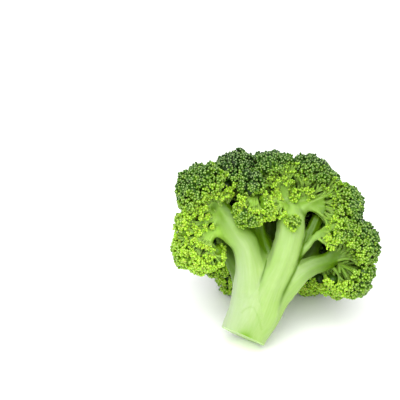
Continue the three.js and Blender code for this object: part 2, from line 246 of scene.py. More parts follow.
def curve_through(stations):
    """Even points along the smooth curve through the stations, and the radius at each."""
    stations = np.array(stations, dtype=float)
    points, radii = stations[:, :3], stations[:, 3]
    padded = np.vstack([2 * points[0] - points[1], points, 2 * points[-1] - points[-2]])
    t = np.linspace(0, 1, FINE_STEPS, endpoint=False)[:, None]
    fine, thick = [], []
    for k in range(len(points) - 1):
        p0, p1, p2, p3 = padded[k:k + 4]
        d0, d1, d2 = (math.sqrt(np.linalg.norm(b - a)) for a, b in ((p0, p1), (p1, p2), (p2, p3)))
        leave = ((p1 - p0) / d0 - (p2 - p0) / (d0 + d1) + (p2 - p1) / d1) * d1
        arrive = ((p2 - p1) / d1 - (p3 - p1) / (d1 + d2) + (p3 - p2) / d2) * d1
        fine.append((2 * t**3 - 3 * t**2 + 1) * p1 + (t**3 - 2 * t**2 + t) * leave
                    + (3 * t**2 - 2 * t**3) * p2 + (t**3 - t**2) * arrive)
        thick.append(radii[k] + (radii[k + 1] - radii[k]) * t[:, 0])
    fine = np.vstack([*fine, points[-1:]])
    thick = np.append(np.concatenate(thick), radii[-1])
    lengths = np.append(0, np.cumsum(np.linalg.norm(np.diff(fine, axis=0), axis=1)))
    even = np.linspace(0, lengths[-1], max(4, round(lengths[-1] / CURVE_STEP) + 1))
    run = np.stack([np.interp(even, lengths, fine[:, axis]) for axis in range(3)], axis=1)
    return run, np.interp(even, lengths, thick)


def directions_along(points):
    """For each point of a run: the way on, and two ways across that turn with it and never twist."""
    ahead = unit(np.gradient(points, axis=0))
    across = np.cross(ahead[0], (0.3, 1, 0.2))
    sideways = []
    for way in ahead:
        across = unit(across - way * np.dot(across, way))
        sideways.append(across)
    sideways = np.array(sideways)
    return ahead, sideways, np.cross(ahead, sideways)


limb_runs = {name: curve_through(stations) for name, stations in LIMBS.items()}

for name, (run, _) in limb_runs.items():
    print(f"{name}: {np.linalg.norm(np.diff(run, axis=0), axis=1).sum():.0f} mm long")

# %% [markdown]
# ## Twigs
#
# A twig leaves its limb, passes its own points and runs on into its floret, where the branchlets take over.
# In an open floret it stops at the point where they start, and tapers, because they take its strength.

# %% Twig runs
TWIG_END = -0.5  # where the twig of a closed floret stops, from the centre and as a share of the radius
TAPER = 0.6  # how thick the end of an open floret's twig still is


def root_of(floret):
    """Where a floret's branchlets start, from its centre."""
    return -floret["root"] * floret["r"] * floret["faces"] + floret["near"] * NEAR


def twig_run(name):
    """The run of the twig that carries a floret, and the radius at each of its points."""
    floret = FLORETS[name]
    run, _ = limb_runs[floret["on"]]
    place = floret["start"] * (len(run) - 1)
    root = run[int(place)] + (run[min(int(place) + 1, len(run) - 1)] - run[int(place)]) * (place % 1)
    end = root_of(floret) if name in OPEN_FLORETS else TWIG_END * floret["r"] * floret["faces"]
    points = [root, *floret["via"], floret["at"] + end]
    radii = np.linspace(*floret["twig"], len(points))
    if name in OPEN_FLORETS:
        radii[-1] *= TAPER
    return curve_through(np.column_stack([points, radii]))


twig_runs = {name: twig_run(name) for name in FLORETS}
all_runs = [*limb_runs.values(), *twig_runs.values()]

print("limbs and twigs:", len(all_runs))

# %% [markdown]
# ## Meshes from arrays
#
# A floret holds thousands of buds, too many to add one by one with operators. Arrays of points and
# triangles are handed to Blender in one go instead, and values for every point go along as attributes,
# which the materials read. Limbs and buds are both rings of points with walls between them.

# %% Mesh helpers
CAP_OUT, CAP_R, CAP_TIP = 0.5, 0.7, 0.4  # the rounded end of a tube, in radii


def rings_round(across, up, sides):
    """Directions in a full circle, for each pair of ways across."""
    turn = np.arange(sides)[:, None] * 2 * math.pi / sides
    return np.cos(turn) * across[..., None, :] + np.sin(turn) * up[..., None, :]


def walls(rings, sides):
    """The triangles between rings of points that follow each other."""
    j = np.arange(sides)
    low = np.arange(rings - 1)[:, None] * sides
    a, b = low + j, low + (j + 1) % sides
    return np.stack([a, b, a + sides, b, b + sides, a + sides], axis=-1).reshape(-1, 3)


def cap(first, sides, tip):
    """The triangles that close a ring, from the number of its first point to a tip."""
    j = np.arange(sides)
    return np.stack([np.full(sides, tip), first + j, first + (j + 1) % sides], axis=-1)


def copies(triangles, count, each):
    """The same triangles for a number of things that follow each other and have `each` points."""
    return (triangles[None] + np.arange(count)[:, None, None] * each).reshape(-1, 3)


def tubes(runs, radii, sides):
    """Open tubes round runs that all have the same number of points: points and triangles."""
    count, rings = runs.shape[:2]
    ahead = unit(np.gradient(runs, axis=1))
    across = unit(np.cross(ahead, (0.31, 0.86, 0.4)))
    spread = rings_round(across, np.cross(ahead, across), sides)
    points = runs[:, :, None] + radii[:, :, None, None] * spread
    return points.reshape(-1, 3), copies(walls(rings, sides), count, rings * sides)


def closed_tube(run, radii, sides):
    """One tube with a rounded cap at each end: points and triangles."""
    ahead, across, up = directions_along(run)
    run = np.vstack([run[0] - ahead[0] * radii[0] * CAP_OUT, run, run[-1] + ahead[-1] * radii[-1] * CAP_OUT])
    across, up = (np.vstack([way[:1], way, way[-1:]]) for way in (across, up))
    radii = np.concatenate([[radii[0] * CAP_R], radii, [radii[-1] * CAP_R]])
    rings = run[:, None] + radii[:, None, None] * rings_round(across, up, sides)
    points = np.vstack([rings.reshape(-1, 3), run[0] - ahead[0] * radii[0] * CAP_TIP,
                        run[-1] + ahead[-1] * radii[-1] * CAP_TIP])
    first_cap = cap(0, sides, len(points) - 2)[:, [0, 2, 1]]
    last_cap = cap((len(run) - 1) * sides, sides, len(points) - 1)
    return points, np.vstack([walls(len(run), sides), first_cap, last_cap])


def joined(parts):
    """Several (points, triangles) pairs as one."""
    starts = np.cumsum([0] + [len(points) for points, _ in parts[:-1]])
    return (np.vstack([points for points, _ in parts]),
            np.vstack([triangles + start for (_, triangles), start in zip(parts, starts)]))


print("a tube of 4 rings of 6 points has", len(walls(4, 6)), "triangles in its walls")

# %% Meshes in and out of Blender
def set_points(mesh, points):
    """Puts all the points of a mesh in their places, in metres."""
    mesh.vertices.foreach_set("co", np.asarray(points, dtype=np.float32).ravel())


def points_of(mesh):
    """A mesh's points as an array."""
    points = np.empty(len(mesh.vertices) * 3, dtype=np.float32)
    mesh.vertices.foreach_get("co", points)
    return points.reshape(-1, 3).astype(float)


def mesh_of(name, points, triangles):
    """A smooth-shaded mesh from arrays."""
    mesh = bpy.data.meshes.new(name)
    mesh.vertices.add(len(points))
    set_points(mesh, points)
    mesh.loops.add(triangles.size)
    mesh.loops.foreach_set("vertex_index", np.asarray(triangles, dtype=np.int32).ravel())
    mesh.polygons.add(len(triangles))
    mesh.polygons.foreach_set("loop_start", np.arange(0, triangles.size, 3, dtype=np.int32))
    mesh.polygons.foreach_set("use_smooth", np.ones(len(triangles), dtype=bool))
    mesh.update(calc_edges=True)
    return mesh


def put_attribute(mesh, name, kind, values):
    """Stores a value for every point, under a name that a material can read."""
    attribute = mesh.attributes.new(name, kind, "POINT")
    field = "color" if kind == "FLOAT_COLOR" else "vector"
    attribute.data.foreach_set(field, np.asarray(values, dtype=np.float32).ravel())


def put_in_scene(name, data):
    """A new object in the scene that holds a mesh, a light or a camera."""
    thing = bpy.data.objects.new(name, data)
    bpy.context.scene.collection.objects.link(thing)
    return thing


# %% [markdown]
# ## One node helper
#
# Every material below is a small graph. One function adds a node with its settings and links, so that a
# graph reads as a recipe from top to bottom. Colours are given as the sRGB hex values that a colour picker
# shows, and Blender's shaders work in linear light, so one function turns one into the other.

# %% Material helpers
def linear(hex_colour):
    """An sRGB hex colour as the linear values that a shader works in."""
    channels = [int(hex_colour[i:i + 2], 16) / 255 for i in (1, 3, 5)]
    return [c / 12.92 if c <= 0.04045 else ((c + 0.055) / 1.055) ** 2.4 for c in channels] + [1.0]


def add(tree, kind, inputs=None, **settings):
    """Adds a node, sets its options, and fills its inputs: hex colours, other values, or links.

    A link comes from an output, or from a node, which then gives the first output that it uses.
    """
    node = tree.nodes.new(kind)
    for option, value in settings.items():
        setattr(node, option, value)
    for socket, value in (inputs or {}).items():
        if isinstance(value, bpy.types.Node):
            value = next(output for output in value.outputs if output.enabled)
        if isinstance(value, bpy.types.NodeSocket):
            tree.links.new(value, node.inputs[socket])
        else:
            node.inputs[socket].default_value = linear(value) if isinstance(value, str) else value
    return node


def new_material(name):
    """An empty material, and its node tree."""
    material = bpy.data.materials.new(name)
    material.use_nodes = True
    material.node_tree.nodes.clear()
    return material, material.node_tree


print("sRGB #808080 is", round(linear("#808080")[0], 3), "in linear light")

# %% [markdown]
# ## The stalk's finish
#
# A broccoli stalk is watery flesh under a thin satin skin. Light goes a few millimetres into it, so it
# looks soft and lit from inside, which subsurface scattering gives. The skin is pale green with faint
# streaks where the fibres run. It is fresher near the florets and darker along a leaf scar or a bruise.
# Painted shade makes it greener in the forks, on shaded limbs and where the limbs end, and greener and
# more yellow-green on the side away from the light, and a painted sheen lies over a thin grey wax on the
# lit side. All of these come from four values that each point of the mesh carries, painted over each
# other one by one. The streaks follow each limb, so the noise is read along the limb's own directions.

# %% Satin skin of the stalk
FIBRE_WIDTH = 1.1  # mm, drawn coarser than the fibres of a real stalk, 0.3 mm apart, which wouldn't show
CLOUD_SIZE = 6.25  # mm, the size of the slow changes in the green


def stalk_skin():
    material, tree = new_material("broccoli_stalk_satin_skin")
    grain = add(tree, "ShaderNodeAttribute", attribute_name="grain").outputs["Vector"]
    tone = add(tree, "ShaderNodeAttribute", attribute_name="tone").outputs
    tones = add(tree, "ShaderNodeSeparateColor", {"Color": tone["Color"]}).outputs
    streaks = add(tree, "ShaderNodeTexNoise", {
        "Vector": grain, "Scale": 1 / FIBRE_WIDTH, "Detail": 3.0, "Roughness": 0.55})
    clouds = add(tree, "ShaderNodeTexNoise", {"Vector": grain, "Scale": 1 / CLOUD_SIZE, "Detail": 2.0})
    streaky = add(tree, "ShaderNodeMapRange", {
        "Value": streaks, "From Min": 0.35, "From Max": 0.8, "To Max": 0.4})
    cloudy = add(tree, "ShaderNodeMapRange", {
        "Value": clouds, "From Min": 0.4, "From Max": 0.68, "To Max": 0.5})
    skin = "#99b569"
    for share, colour in (
            (streaky, "#b6c89a"), (cloudy, "#86ae4a"),
            (tone["Alpha"], "#aab89e"),  # wax, with a painted sheen on the lit side
            (tones["Red"], "#92bc42"),  # fresh skin near the florets, and painted shade on the side away from the light
            (tones["Green"], "#4f7400"),  # painted shade: forks, shaded limbs, the ends of limbs and the sides away from the light
            (tones["Blue"], "#6c9a08")):  # leaf scar and bruise
        skin = add(tree, "ShaderNodeMix", {"Factor": share, "A": skin, "B": colour}, data_type="RGBA")
    relief = add(tree, "ShaderNodeBump", {"Height": streaks, "Strength": 0.35, "Distance": 0.0003})
    shader = add(tree, "ShaderNodeBsdfPrincipled", {
        "Base Color": skin, "Roughness": 0.42, "IOR": 1.36,
        "Subsurface Weight": 0.35, "Subsurface Radius": (1.0, 1.4, 0.5), "Subsurface Scale": 0.002,
        "Normal": relief})
    add(tree, "ShaderNodeOutputMaterial", {"Surface": shader})
    return material


STALK_SKIN = stalk_skin()
print("made", STALK_SKIN.name)

# %% [markdown]
# ## The cut end
#
# A knife leaves wet flesh: a pale, watery pith with a ring of tougher green fibres just under the skin,
# and a higher gloss than the skin has.

# %% Cut flesh
SPECKLES = 0.9  # to a millimetre, drawn coarser than the cells of the pith, 0.2 mm across


def cut_flesh():
    material, tree = new_material("broccoli_cut_wet_flesh")
    tone = add(tree, "ShaderNodeAttribute", attribute_name="tone").outputs["Color"]
    rim = add(tree, "ShaderNodeSeparateColor", {"Color": tone}).outputs["Blue"]
    place = add(tree, "ShaderNodeTexCoord").outputs["Object"]
    speckle = add(tree, "ShaderNodeTexNoise", {"Vector": place, "Scale": SPECKLES / MM, "Detail": 2.0})
    pith = add(tree, "ShaderNodeMix", {"Factor": speckle, "A": "#a8c676", "B": "#c2da98"}, data_type="RGBA")
    flesh = add(tree, "ShaderNodeMix", {"Factor": rim, "A": pith, "B": "#93c455"}, data_type="RGBA")
    relief = add(tree, "ShaderNodeBump", {"Height": speckle, "Strength": 0.3, "Distance": 0.0002})
    shader = add(tree, "ShaderNodeBsdfPrincipled", {
        "Base Color": flesh, "Roughness": 0.25, "IOR": 1.36,
        "Subsurface Weight": 0.3, "Subsurface Radius": (1.0, 1.2, 0.6), "Subsurface Scale": 0.002,
        "Normal": relief})
    add(tree, "ShaderNodeOutputMaterial", {"Surface": shader})
    return material


CUT_FLESH = cut_flesh()
print("made", CUT_FLESH.name)

# %% [markdown]
# ## The buds' finish
#
# A broccoli bud is a closed flower bud, 1.5 to 2 mm across, with a smooth skin under a dull wax. Each bud
# carries three values: how ripe it is, how far up the bud the point lies, and a chance tint. Ripe buds are
# dark green, young ones yellow-green, and let more light through. All have pale tips, the wax's bluish bloom
# on ripe ones, and these are partly a painted highlight. The necks, down in the crease between two buds,
# are darkened as painted shade.

# %% Waxy buds
def waxy_buds():
    material, tree = new_material("broccoli_bud_waxy_skin")
    bud = add(tree, "ShaderNodeAttribute", attribute_name="bud").outputs["Color"]
    values = add(tree, "ShaderNodeSeparateColor", {"Color": bud}).outputs
    ripe, along, tint = values["Red"], values["Green"], values["Blue"]
    colour = add(tree, "ShaderNodeValToRGB", {"Fac": ripe})
    ramp = colour.color_ramp
    ramp.elements[0].color = linear("#9cc62e")
    ramp.elements[1].position = 1.0
    ramp.elements[1].color = linear("#1f3f09")
    for position, shade in ((0.35, "#6d9614"), (0.65, "#3b670b")):
        ramp.elements.new(position).color = linear(shade)
    # pale tips: the wax's bloom on ripe buds, with a painted highlight on every tip
    bloom_and_highlight = add(tree, "ShaderNodeMapRange", {"Value": ripe, "To Min": 0.5, "To Max": 0.85})
    tip_bloom_and_highlight = add(tree, "ShaderNodeMapRange", {
        "Value": along, "From Min": 0.86, "From Max": 0.98, "To Max": bloom_and_highlight})
    tip = add(tree, "ShaderNodeMix", {"Factor": ripe, "A": "#cfe478", "B": "#9ab676"}, data_type="RGBA")
    skin = add(tree, "ShaderNodeMix", {"Factor": tip_bloom_and_highlight, "A": colour, "B": tip}, data_type="RGBA")
    # the necks are darkened as painted shade in the creases between buds, more on ripe buds
    neck_shade = add(tree, "ShaderNodeMapRange", {"Value": ripe, "To Min": 0.95, "To Max": 0.28})
    crease_shade = add(tree, "ShaderNodeMapRange", {
        "Value": along, "From Min": 0.3, "From Max": 0.84, "To Min": neck_shade})
    tinted = add(tree, "ShaderNodeMapRange", {"Value": tint, "To Min": 0.88, "To Max": 1.12})
    shade = add(tree, "ShaderNodeMath", {0: crease_shade, 1: tinted}, operation="MULTIPLY")
    skin = add(tree, "ShaderNodeVectorMath", {0: skin, "Scale": shade}, operation="SCALE")
    softness = add(tree, "ShaderNodeMapRange", {
        "Value": ripe, "From Max": 0.5, "To Min": 0.6, "To Max": 0.25})
    shader = add(tree, "ShaderNodeBsdfPrincipled", {
        "Base Color": skin, "Roughness": 0.42, "IOR": 1.34,
        "Subsurface Weight": softness, "Subsurface Radius": (0.6, 1.0, 0.3),
        "Subsurface Scale": 0.0013})
    add(tree, "ShaderNodeOutputMaterial", {"Surface": shader})
    return material


BUD_SKIN = waxy_buds()
print("made", BUD_SKIN.name)

# %% [markdown]
# ## How a floret is built
#
# A floret is a dome of tufts, a tuft is a dome of clusters, and a cluster is a dome of buds: the same form
# three times over, each about a third of the size of the last. On every dome the next things are placed a
# golden angle apart, as the plant places them, which spreads them evenly in spirals without any rows.

# %% Spirals and tufts
GOLDEN_ANGLE = math.pi * (3 - math.sqrt(5))
TUFT_COVER = math.cos(math.radians(112))
TUFT_SPACING = 10.5  # mm
TUFT_R = 0.58  # of the spacing, but no more than half of the floret's radius
TUFT_SIZES = 0.12  # share by which tufts differ
TUFT_UNEVEN = 0.9  # mm by which they stand out more or less


def spiral(way, count, cover):
    """Directions a golden angle apart, from `way` out to the angle whose cosine is `cover`."""
    k = np.arange(count)
    up = 1 - (1 - cover) * (k + 0.5) / count
    ring = np.sqrt(1 - up**2)
    turn = k * GOLDEN_ANGLE
    upright = np.stack([ring * np.cos(turn), ring * np.sin(turn), up], axis=1)
    return upright @ np.array(Vector((0, 0, 1)).rotation_difference(Vector(way)).to_matrix()).T


def count_on(radius, cover, spacing):
    """How many things a spacing apart fit on that part of a ball, close packed."""
    return round(2 * math.pi * radius**2 * (1 - cover) / (math.sqrt(3) / 2 * spacing**2))


def tufts_of(floret):
    """The centres of a floret's tufts, from the floret's own centre, and their radii."""
    count = max(5, count_on(floret["r"], TUFT_COVER, TUFT_SPACING))
    k = np.arange(count)
    sizes = min(TUFT_R * TUFT_SPACING, 0.5 * floret["r"]) * (1 + TUFT_SIZES * np.sin(5.3 * k))
    out = floret["r"] - sizes + TUFT_UNEVEN * np.sin(3.7 * k + floret["at"][0])
    return spiral(floret["faces"], count, TUFT_COVER) * out[:, None], sizes


def limits_of(name):
    """The planes that a floret stays behind: halfway to each neighbour, and the surface below."""
    centre, r = FLORETS[name]["at"], FLORETS[name]["r"]
    ways, reach = [DOWN], [leant(centre)[2]]
    for other, floret in FLORETS.items():
        if other != name:
            way = floret["at"] - centre
            apart = np.linalg.norm(way)
            ways.append(way / apart)
            reach.append((apart**2 + r**2 - floret["r"] ** 2) / (2 * apart))
    return np.array(ways), np.array(reach)


limits = {name: limits_of(name) for name in FLORETS}

print("tufts:", sum(len(tufts_of(floret)[1]) for floret in FLORETS.values()))

# %% [markdown]
# ## The fan in the opening
#
# In the opening the twig's end is seen to divide: slender branchlets leave it one after another and spread
# like the ribs of a fan. The first layer reaches the closed buds, and up to two shorter ones lean out in
# front of it. Each branchlet forks once more, and a small spray of young buds stands at every end. A few
# single sprays leave their twig lower down. A branchlet with no room before the next floret is left out.

# %% Fans
FAN_SPACING = 2.2  # mm of the floret's radius for each branchlet of a layer
FAN_LAYERS = ((0.1, 1.0), (0.5, 0.8), (1.0, 0.6))  # how far a layer leans to the near side, how long it is
FAN_UNEVEN = 0.08  # radians
FAN_LENGTHS = (0.85, 1.08)  # the least and the most that a branchlet gets of its layer's length
RIM_SHARE = 0.8  # of the way to the floret's rim, the most that a branchlet reaches
SPRAY_ROOM = 2.2  # mm that a spray needs in front of it
LEAST_LENGTH = 0.35  # share of its length that a branchlet must have room for
SPRIG_BACK = 3  # stations of the twig between the one nearest to a sprig's tip and where the sprig leaves
FORK = 0.42  # how far a fork turns from its branchlet
FORK_LEANS = (-0.2, 0.35)  # and how far it leans to the near side
FORK_LENGTHS = (0.3, 0.42)  # as shares of the branchlet's length
RUN_STATIONS, FORK_STATIONS, FORK_AT = 8, 6, 5
BEND = 0.4  # how far each end's direction holds, as a share of the distance
LEVEL = 0.05  # a branchlet nearer to level with a plane than this never meets it
BASE_OUT = 0.4  # how far from the middle of the twig's end the branchlets start, in its radii
FOLLOW = 2  # how strongly a branchlet first follows its twig


def bent(starts, start_ways, ends, end_ways, stations):
    """Runs that leave along one direction and arrive along another."""
    t = np.linspace(0, 1, stations)[None, :, None]
    far = np.linalg.norm(ends - starts, axis=1, keepdims=True) * BEND
    a, b = starts[:, None], (starts + start_ways * far)[:, None]
    c, d = (ends - end_ways * far)[:, None], ends[:, None]
    return (1 - t) ** 3 * a + 3 * (1 - t) ** 2 * t * b + 3 * (1 - t) * t**2 * c + t**3 * d


def fan_tips(floret, side, planes, reach, rng):
    """Where a fan's branchlets end, the way each goes, and how far out in the fan it lies."""
    faces, r, behind, root = floret["faces"], floret["r"], floret["root"], root_of(floret)
    count = floret["rays"] or max(4, round(r / FAN_SPACING))
    first, last = np.radians(floret["fan"])
    ways, lengths, turns = [], [], []
    for lean, share in FAN_LAYERS[:floret["layers"]]:
        turn = np.linspace(first, last, count) + rng.normal(scale=FAN_UNEVEN, size=count)
        ways.append(unit(np.cos(turn)[:, None] * faces + np.sin(turn)[:, None] * side + lean * NEAR))
        ahead = ways[-1] @ faces
        rim = r * (behind * ahead + np.sqrt(1 - behind**2 * (1 - ahead**2)))
        up_to = np.minimum((behind + floret["open"]) * r / np.maximum(ahead, 0.3), RIM_SHARE * rim)
        lengths.append(up_to * share * rng.uniform(*FAN_LENGTHS, count))
        turns.append(np.abs(turn) / max(last, -first))
    ways, lengths, turns = np.vstack(ways), np.concatenate(lengths), np.concatenate(turns)
    towards = ways @ planes.T
    room = (reach - SPRAY_ROOM - root @ planes.T) / np.maximum(towards, LEVEL)
    room = np.where(towards > LEVEL, room, np.inf).min(axis=1)
    keep = room > LEAST_LENGTH * lengths
    return root + ways[keep] * np.minimum(lengths, room)[keep][:, None], ways[keep], turns[keep]


def fan_of(name, rng):
    """The branchlets in a floret's opening: their runs, their forks' runs, and the ways both end."""
    floret = FLORETS[name]
    faces = floret["faces"]
    side = unit(np.cross(faces, NEAR))
    twig = twig_runs[name][0] - floret["at"]
    along_twig = unit(np.gradient(twig, axis=0))
    tips, ways, turns = fan_tips(floret, side, *limits[name], rng)
    leaves = len(twig) - 2 - np.round(floret["leave"] * turns / CURVE_STEP)
    leaves = np.clip(leaves, 0, None).astype(int)
    for sprig in floret["sprigs"]:
        tip = np.array(sprig) - floret["at"]
        leave = max(0, int(np.linalg.norm(twig - tip, axis=1).argmin()) - SPRIG_BACK)
        tips, ways = np.vstack([tips, tip]), np.vstack([ways, unit(tip - twig[leave])])
        leaves = np.append(leaves, leave)
    starts = twig[leaves] + BASE_OUT * floret["twig"][1] * (ways - (ways @ faces)[:, None] * faces)
    runs = bent(starts, unit(ways + FOLLOW * along_twig[leaves]), tips, ways, RUN_STATIONS)
    fork_ways = [unit(ways + turn * side + rng.uniform(*FORK_LEANS, (len(ways), 1)) * NEAR)
                 for turn in (-FORK, FORK)]
    lengths = np.linalg.norm(tips - starts, axis=1, keepdims=True)
    lengths = lengths * rng.uniform(*FORK_LENGTHS, (len(ways), 1))
    forks = [bent(runs[:, FORK_AT], ways, runs[:, FORK_AT] + way * lengths, way, FORK_STATIONS)
             for way in fork_ways]
    return runs, np.vstack(forks), ways, np.vstack(fork_ways)


fans = {name: fan_of(name, np.random.default_rng(200 + number))
        for number, name in enumerate(FLORETS) if name in OPEN_FLORETS}

print("branchlets in the openings:", sum(len(runs) + len(forks) for runs, forks, _, _ in fans.values()))

# %% [markdown]
# ## A skin over the limbs
#
# Tubes that only cross each other show hard seams at every fork. Metaballs would flow together but swell,
# and a boolean join keeps the seams. A voxel remesh wraps one closed skin round all the tubes, and a few
# rounds of smoothing then melt the seams into forks while the deep grooves stay.

# %% Wrap and smooth
VOXEL = 0.7  # mm
SMOOTH_ROUNDS = 5
TRUNK_SIDES = 40
TWIG_SIDES = 20
FAN_BASE = 0.5  # a branchlet's thickness where it leaves the twig, as a share of the twig's own
FAN_BASE_END = 1.05  # mm, before the smoothing thins it
FAN_BASE_STATIONS = 6
FAN_BASE_SIDES = 10


def wrapped(parts):
    """One closed skin round overlapping tubes."""
    points, triangles = joined(parts)
    rough = put_in_scene("limbs", mesh_of("limbs", points * MM, triangles))
    remesh = rough.modifiers.new("wrap", "REMESH")
    remesh.mode = "VOXEL"
    remesh.voxel_size = VOXEL * MM
    seen = rough.evaluated_get(bpy.context.evaluated_depsgraph_get())
    mesh = bpy.data.meshes.new_from_object(seen)
    bpy.data.objects.remove(rough)
    return mesh


def smoothed(points, mesh, rounds):
    """Points moved towards the middle of their neighbours, a few times over."""
    edges = np.empty(len(mesh.edges) * 2, dtype=np.int64)
    mesh.edges.foreach_get("vertices", edges)
    a, b = edges.reshape(-1, 2).T
    count = np.bincount(a, minlength=len(points)) + np.bincount(b, minlength=len(points))
    for _ in range(rounds):
        total = np.stack([
            np.bincount(a, points[b, axis], len(points)) + np.bincount(b, points[a, axis], len(points))
            for axis in range(points.shape[1])], axis=1)
        points = 0.4 * points + 0.6 * total / count[:, None]
    return points


tube_parts = [closed_tube(*run, TRUNK_SIDES) for run in limb_runs.values()]
tube_parts += [closed_tube(*run, TWIG_SIDES) for run in twig_runs.values()]
for name, (runs, _, _, _) in fans.items():
    thick = np.linspace(FAN_BASE * FLORETS[name]["twig"][1], FAN_BASE_END, FAN_BASE_STATIONS)
    for run in runs + FLORETS[name]["at"]:
        tube_parts.append(closed_tube(run[:FAN_BASE_STATIONS], thick, FAN_BASE_SIDES))
stalk_mesh = wrapped(tube_parts)
stalk_points = smoothed(points_of(stalk_mesh) / MM, stalk_mesh, SMOOTH_ROUNDS)

print("points in the stalk's skin:", len(stalk_points))

# %% [markdown]
# ## What each point of the skin knows
#
# Fillets, ribs, streaks and shade all follow the limbs. For every point of the skin, the distance to every
# limb is looked up, and the place on the nearest one. A point about as far from two branches lies in a fork.

# %% Distance to every limb
CHUNK = 4000  # points at a time, to spare memory
GROOVE, HOLLOW, HOLLOW_SHARE = 1.3, 4.0, 0.08  # mm: the narrow band of a fork, and a faint wide one
OFF_TRUNK = 2  # mm that the branches stand clear of the trunk before their fork shows in full
FORKS_FROM, FORKS_FULL = 14, 26  # mm up the stem


def limbs_near(points, runs):
    """For each point: its distance outside every limb, and the nearest station's limb and place."""
    centres = np.vstack([run for run, _ in runs])
    radii = np.concatenate([thick for _, thick in runs])
    counts = [len(run) for run, _ in runs]
    firsts = np.cumsum([0, *counts[:-1]])
    owner = np.repeat(np.arange(len(runs)), counts)
    gaps, nearest = [], []
    for start in range(0, len(points), CHUNK):
        some = points[start:start + CHUNK]
        outside = np.linalg.norm(some[:, None] - centres[None], axis=2) - radii
        gaps.append(np.minimum.reduceat(outside, firsts, axis=1))
        nearest.append(outside.argmin(axis=1))
    nearest = np.concatenate(nearest)
    return np.vstack(gaps), owner[nearest], nearest - firsts[owner[nearest]]


gaps, limb_of, place_of = limbs_near(stalk_points, all_runs)
trunk_gap = gaps[:, 0]
first_gap, second_gap = np.partition(gaps[:, 1:], 1, axis=1)[:, :2].T
apart = second_gap - first_gap
in_fork = np.exp(-(apart / GROOVE) ** 2) + HOLLOW_SHARE * np.exp(-(apart / HOLLOW) ** 2)
in_fork *= rising(trunk_gap - first_gap, 0, OFF_TRUNK)
in_fork *= rising(stalk_points[:, 2], FORKS_FROM, FORKS_FULL)

print("share of the skin in a fork:", round(float((in_fork > 0.5).mean()), 2))

# %% [markdown]
# ## Fillets
#
# A branch doesn't leave the trunk with a crease, it swells out of it. The skin is pushed out where a branch
# and the trunk are equally near, over a wide band, and only a little between two branches, so that the
# grooves between them stay sharp. Low on the stem the grooves are old and nearly closed, so many more
# rounds of smoothing fade in there.

# %% Fill the forks
TRUNK_FILLET = 7.0  # mm over which a branch melts into the trunk
FORK_FILLET = 1.6
LOW_ROUNDS = 60  # of smoothing, low on the stem
LOW_FROM, LOW_FULL = 32, 18  # mm up the stem


def point_normals(mesh, points):
    """Outward directions at the points of a mesh whose points have been moved."""
    set_points(mesh, points * MM)
    mesh.update()
    normals = np.empty(len(points) * 3, dtype=np.float32)
    mesh.vertices.foreach_get("normal", normals)
    return normals.reshape(-1, 3)


def fillet(difference, width):
    """How far a fillet of that width lifts the skin where two distances differ by so much."""
    return width / 4 * np.clip(1 - np.abs(difference) / width, 0, 1) ** 2


lift = fillet(trunk_gap - first_gap, TRUNK_FILLET) + fillet(apart, FORK_FILLET)
stalk_points = stalk_points + point_normals(stalk_mesh, stalk_points) * lift[:, None]
stalk_points = smoothed(stalk_points, stalk_mesh, SMOOTH_ROUNDS)
low_down = rising(stalk_points[:, 2:], LOW_FROM, LOW_FULL)
stalk_points += low_down * (smoothed(stalk_points, stalk_mesh, LOW_ROUNDS) - stalk_points)

print("widest lift:", round(float(lift.max()), 1), "mm")

# %% [markdown]
# ## Grain
#
# For the streaks, each point also learns its place across and along its own limb, and the angle round it.

# %% Grain of the skin
GRAIN_STRETCH = 0.07  # how slowly the streaks change along a limb, against across it
GRAIN_APART = 37  # mm between the grains of two limbs, so that they differ

grain = np.zeros_like(stalk_points)
angle_round = np.zeros(len(stalk_points))
for k, (run, _) in enumerate(all_runs):
    mine = limb_of == k
    _, across, up = directions_along(run)
    spot = place_of[mine]
    offset = stalk_points[mine] - run[spot]
    sideways = np.einsum("ij,ij->i", offset, across[spot])
    upwards = np.einsum("ij,ij->i", offset, up[spot])
    grain[mine] = np.stack([sideways + GRAIN_APART * k, upwards, spot * CURVE_STEP * GRAIN_STRETCH], axis=1)
    angle_round[mine] = np.arctan2(upwards, sideways)

print("grain runs along", len(all_runs), "limbs and twigs")

# %% [markdown]
# ## Marks by the cut
#
# A leaf that is broken off leaves an arched scar across the stem, and the knife bruises the skin at its
# edge, which turns a darker green. Both lie on the near side. The scar is also a faint groove in the mesh.

# %% Leaf scar and bruise
CUT_NORMAL = unit((-0.4, -0.16, -0.9))
LEAF_SCAR = np.array([(-1.7, 14.9), (0, 17), (3.3, 18.4), (5, 17.6), (7.2, 12.7), (9.4, 5.5)])  # X and Z
SCAR_WIDTH = 0.5  # mm
SCAR_SHARE = 0.28  # how much of the bruise's green it takes
BRUISE_MIDDLE, BRUISE_REACH, BRUISE_HEIGHT = -0.5, 4.5, 3.5  # mm: along the cut, and up from it


def marks_at(points):
    """How much each point lies on the leaf scar or the bruise."""
    flat = points[:, [0, 2]]
    nearest = np.full(len(points), np.inf)
    for a, b in zip(LEAF_SCAR[:-1], LEAF_SCAR[1:]):
        share = np.clip((flat - a) @ (b - a) / ((b - a) @ (b - a)), 0, 1)
        nearest = np.minimum(nearest, np.linalg.norm(flat - a - share[:, None] * (b - a), axis=1))
    along_cut = flat @ np.array([-CUT_NORMAL[2], CUT_NORMAL[0]])
    bruise = np.exp(-((along_cut - BRUISE_MIDDLE) / BRUISE_REACH) ** 2 + points @ CUT_NORMAL / BRUISE_HEIGHT)
    line = SCAR_SHARE * np.exp(-(nearest / SCAR_WIDTH) ** 2)
    return np.maximum(line, np.clip(1.3 * bruise, 0, 1)) * (points[:, 1] < 0)


marks = marks_at(stalk_points)

print("share of the skin with a mark:", round(float((marks > 0.1).mean()), 3))

